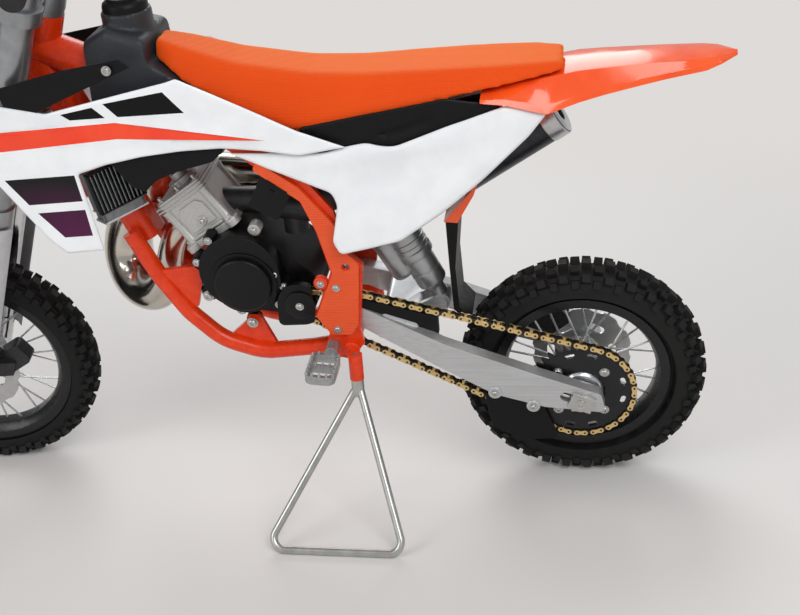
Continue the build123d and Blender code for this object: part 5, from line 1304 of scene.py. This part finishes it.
for low_z, high_z in ((-53.5, -50), (-38, -35.5)):
    add_prism(tank_trim, upright_box(-37, 37, low_z, high_z), -18, 18)
fitted("radiator_tank_trim", tank_trim, turned_alloy, 0.8, RADIATOR)

# A moulded rubber elbow, clamped at both ends, joins the head's outlet to the tank.
ELBOW_R, ELBOW_ORDER = 8.5, 3
elbow_points = [(603, 0, 546), (615, 0, 564), (634, 16, 566), (648, 34, 552), (658, 46, 538)]
elbow_curve = bpy.data.curves.new("coolant_elbow", "CURVE")
elbow_curve.dimensions = "3D"
elbow_curve.bevel_depth = ELBOW_R
elbow_curve.bevel_resolution = 5
elbow_line = elbow_curve.splines.new("NURBS")
elbow_line.points.add(len(elbow_points) - 1)
for point, place in zip(elbow_line.points, elbow_points):
    point.co = (*place, 1)
elbow_line.order_u = ELBOW_ORDER
elbow_line.use_endpoint_u = True
elbow = bmesh.new()
elbow.from_mesh(frozen(in_scene("coolant_elbow", elbow_curve)))
bmesh.ops.holes_fill(elbow, edges=elbow.edges)
fitted("coolant_elbow", elbow, black_plastic, 0)
CLAMP_BAND = [(0, 9.3), (6, 9.3)]
clamps = bmesh.new()
add_turned(clamps, (604.5, 0, 548.5), (611, 0, 558.5), CLAMP_BAND, 24)
add_turned(clamps, (650, 37, 549), (655, 43, 542), CLAMP_BAND, 24)
fitted("elbow_clamps", clamps, bright_steel, 0.4)

# A black air dam behind each shroud closes the space over the radiator.
DAM_EDGE = [
    (492, 640), (497, 623), (514, 608), (573, 595), (600, 585), (618, 569), (636, 578), (660, 612),
    (680, 644),
]
DAM_INSET = 11.0


def dam_surface(x, z):
    """The dam lies flat inside the shroud."""
    return shroud_surface(x, z) - DAM_INSET


dam_skin = moulded_panel(eased(DAM_EDGE, 4), [], dam_surface, (3.0, 1.5), 9.0)
for side, skin in (("left", dam_skin), ("right", mirrored(dam_skin))):
    panel_piece(f"{side}_air_dam", skin, [black_plastic], (), 2.0)

# ---------------------------------------------------------------- shock absorber
# The shock is turned aluminium: a grooved air chamber over a slimmer sleeve, an eye at each
# end and a ribbed reservoir beside it on a short neck.


def grooved(starts, base, proud):
    """Profile points for raised bands at some distances along a turned part."""
    bands = []
    for start in starts:
        top = base + proud
        bands += [(start, base), (start + 0.8, top), (start + 3.4, top), (start + 4.2, base)]
    return bands


SHOCK_FOOT, SHOCK_HEAD = Vector((214, 0, 326)), Vector((306, 0, 520))
shock_long = (SHOCK_HEAD - SHOCK_FOOT).length
# Satin alloy: silver with a broad, soft highlight from its fine turning.
shock_alloy = mottled("satin_turned_alloy", "#a6a7a8", "#b2b3b4", (0.36, 0.42), 60, metallic=0.8)
shock = bmesh.new()
sleeve = [(8, 13), (24, 13), (32, 22.5), (36, 24), (56, 24), (57, 23), (59, 23), (60, 24), (83, 24)]
sleeve += [(84, 28), (86, 29), (96, 29), (98, 27)] + grooved((102, 112), 27, 1.6)
sleeve += [(shock_long - 20, 27), (shock_long - 18, 24), (shock_long - 17, 11), (shock_long - 6, 11)]
add_turned(shock, SHOCK_FOOT, SHOCK_HEAD, sleeve, 40)
for eye, radius, half in ((SHOCK_FOOT, 13, 15), (SHOCK_HEAD, 14, 12)):
    add_prism(shock, circle(radius, (eye.x, eye.z), 28), -half, half)
chamber = [(0, 14), (3, 17), (8, 18)] + grooved((64, 72, 80, 88), 18, 1.4) + [(105, 18), (108, 14)]
add_turned(shock, (268, 10, 372), (318, 10, 468), chamber, 32)
add_turned(shock, (290, 10, 400), (264, 1, 411), [(0, 10), (28, 10)])
fitted("turned_shock", shock, shock_alloy, 0, nodes=["shock_absorber"])

# ---------------------------------------------------------------- frame trims
# Screws hold the plastic guards to ears on the steel side plates. A cable tie holds the
# harness.
GUARD_FACE_Y, EAR_TOP_Y, TIE_TURN = 89.3, 86, -52
frame_ears = bmesh.new()
for side in (1, -1):
    upper, lower = [(0, 11), (9, 11), (10, 9.6)], [(0, 13), (9, 13), (10, 11.5)]
    add_turned(frame_ears, (385, side * 76, 401), (385, side * EAR_TOP_Y, 401), upper, 24)
    add_turned(frame_ears, (350, side * 80, 284), (350, side * 90, 284), lower, 24)
fitted("frame_ears", frame_ears, frame_paint, 0.6)
guard_spots = [
    ((x, side * y, z), (0, side, 0))
    for x, y, z in ((385, EAR_TOP_Y, 401), (361, GUARD_FACE_Y, 396), (367, GUARD_FACE_Y, 322))
    for side in (1, -1)
]
fixings("guard_screws", socket_screw(4.4), guard_spots)
tie = bmesh.new()
add_prism(tie, turned_box((428, 565), (4.5, 34), TIE_TURN), GUARD_FACE_Y - 8, GUARD_FACE_Y + 1.4)
add_prism(tie, turned_box((436, 558), (7, 8), TIE_TURN), GUARD_FACE_Y, GUARD_FACE_Y + 4.0)
fitted("cable_tie", tie, black_plastic, 0.5)

# ---------------------------------------------------------------- peg teeth
# The pegs' cast rims are cut into teeth for the boots: a row along each long side, and three
# bars across.
PEG_X, PEG_UP = Vector((0.995, 0, 0.105)), Vector((-0.105, 0, 0.995))
PEG_ROOT = Vector((386, 104, 288))
RIM_TEETH = [(edge, 7 + step * 10) for step in range(6) for edge in (-20, 20)]
BAR_TEETH = [(edge, reach) for edge in (-11, 0, 11) for reach in (3, 33, 61.5)]
peg_spots = [
    (Vector((PEG_ROOT.x, side * (PEG_ROOT.y + reach), PEG_ROOT.z)) + PEG_X * edge, PEG_UP)
    for side in (1, -1)
    for edge, reach in RIM_TEETH + BAR_TEETH
]
peg_tooth = turned_unit([(3.2, -1), (2.6, 2.2), (1.0, 5.0)], 8)
fixings("peg_teeth", peg_tooth, peg_spots, finish=peg_casting)

# ---------------------------------------------------------------- silencer cap
# A light spun aluminium cap with a rolled lip closes the silencer's rear end, pressed over
# its sleeve.
SILENCER_FRONT, SILENCER_REAR = Vector((252, -98, 447)), Vector((30, -98, 588))
CAP_OVERLAP = 26
END_CAP = [
    (33.8, 0), (34.4, 1.5), (34.4, 24), (30.0, 27.0), (13.5, 27.0), (13.5, 24.0), (31.5, 22.0), (33.2, 0),
]
silencer_run = (SILENCER_REAR - SILENCER_FRONT).normalized()
end_cap = lathe([(radius, -along) for radius, along in END_CAP], 48)
end_cap.transform(
    Matrix.Translation(SILENCER_REAR - silencer_run * CAP_OVERLAP)
    @ silencer_run.to_track_quat("Z", "Y").to_matrix().to_4x4()
    @ Matrix.Rotation(-math.pi / 2, 4, "X")
)
fitted("silencer_end_cap", end_cap, turned_alloy, 0.6)

# ---------------------------------------------------------------- fuel cap
# The cap is a deep black moulding with a raised grip ring. It screws onto the tank's neck.
CAP_X, CAP_DEPTH = 632, 33
CAP_SIDE = [(0, 29), (1, 32), (24, 32.5), (29, 31), (32, 27), (33.5, 24)]
GRIP_RING = [(25, 0.5), (25, -2.4), (23.5, -3.6), (19.5, -3.6), (18, -2.4), (18, 0.5)]
cap_top = max((BIKE.inverted() @ vert.co).z for vert in frame["nodes"]["fuel_cap"].data.vertices)
cap = bmesh.new()
add_turned(cap, (CAP_X, 0, cap_top - CAP_DEPTH), (CAP_X, 0, cap_top), CAP_SIDE, 48)
fitted("fuel_cap_moulding", cap, black_plastic, 0, smooth=50, nodes=["fuel_cap"])
grip_ring = lathe(GRIP_RING, 48)
grip_ring.transform(Matrix.Translation((CAP_X, 0, cap_top)) @ Matrix.Rotation(-math.pi / 2, 4, "X"))
fitted("cap_grip_ring", grip_ring, black_plastic, 0)

# ---------------------------------------------------------------- tank brackets
# Each bracket is a flat black moulding, bolted to the tank at the rear end of a tapering
# arm. Under the arm the bracket is open, so the panel is cut along the arm's two edges.
ARM_CUTS = [((604, 0, 752), (0.372, 0, 1)), ((626, 0, 766), (0.78, 0, -1))]
arms = merged_copy("tank_brackets")
for place, facing in ARM_CUTS:
    cut = bmesh.ops.bisect_plane(
        arms,
        geom=arms.verts[:] + arms.edges[:] + arms.faces[:],
        plane_co=BIKE @ Vector(place),
        plane_no=(BIKE.to_3x3() @ Vector(facing)).normalized(),
        clear_inner=True,
    )
    cut_edges = [part for part in cut["geom_cut"] if isinstance(part, bmesh.types.BMEdge)]
    bmesh.ops.holes_fill(arms, edges=cut_edges)
fitted("bracket_arms", arms, black_plastic, 0.8, Matrix(), nodes=["tank_brackets"])
bracket_spots = [((638, side * 98.0, 750), (0, side, 0.12)) for side in (1, -1)]
fixings("tank_screws", socket_screw(5.0), bracket_spots)
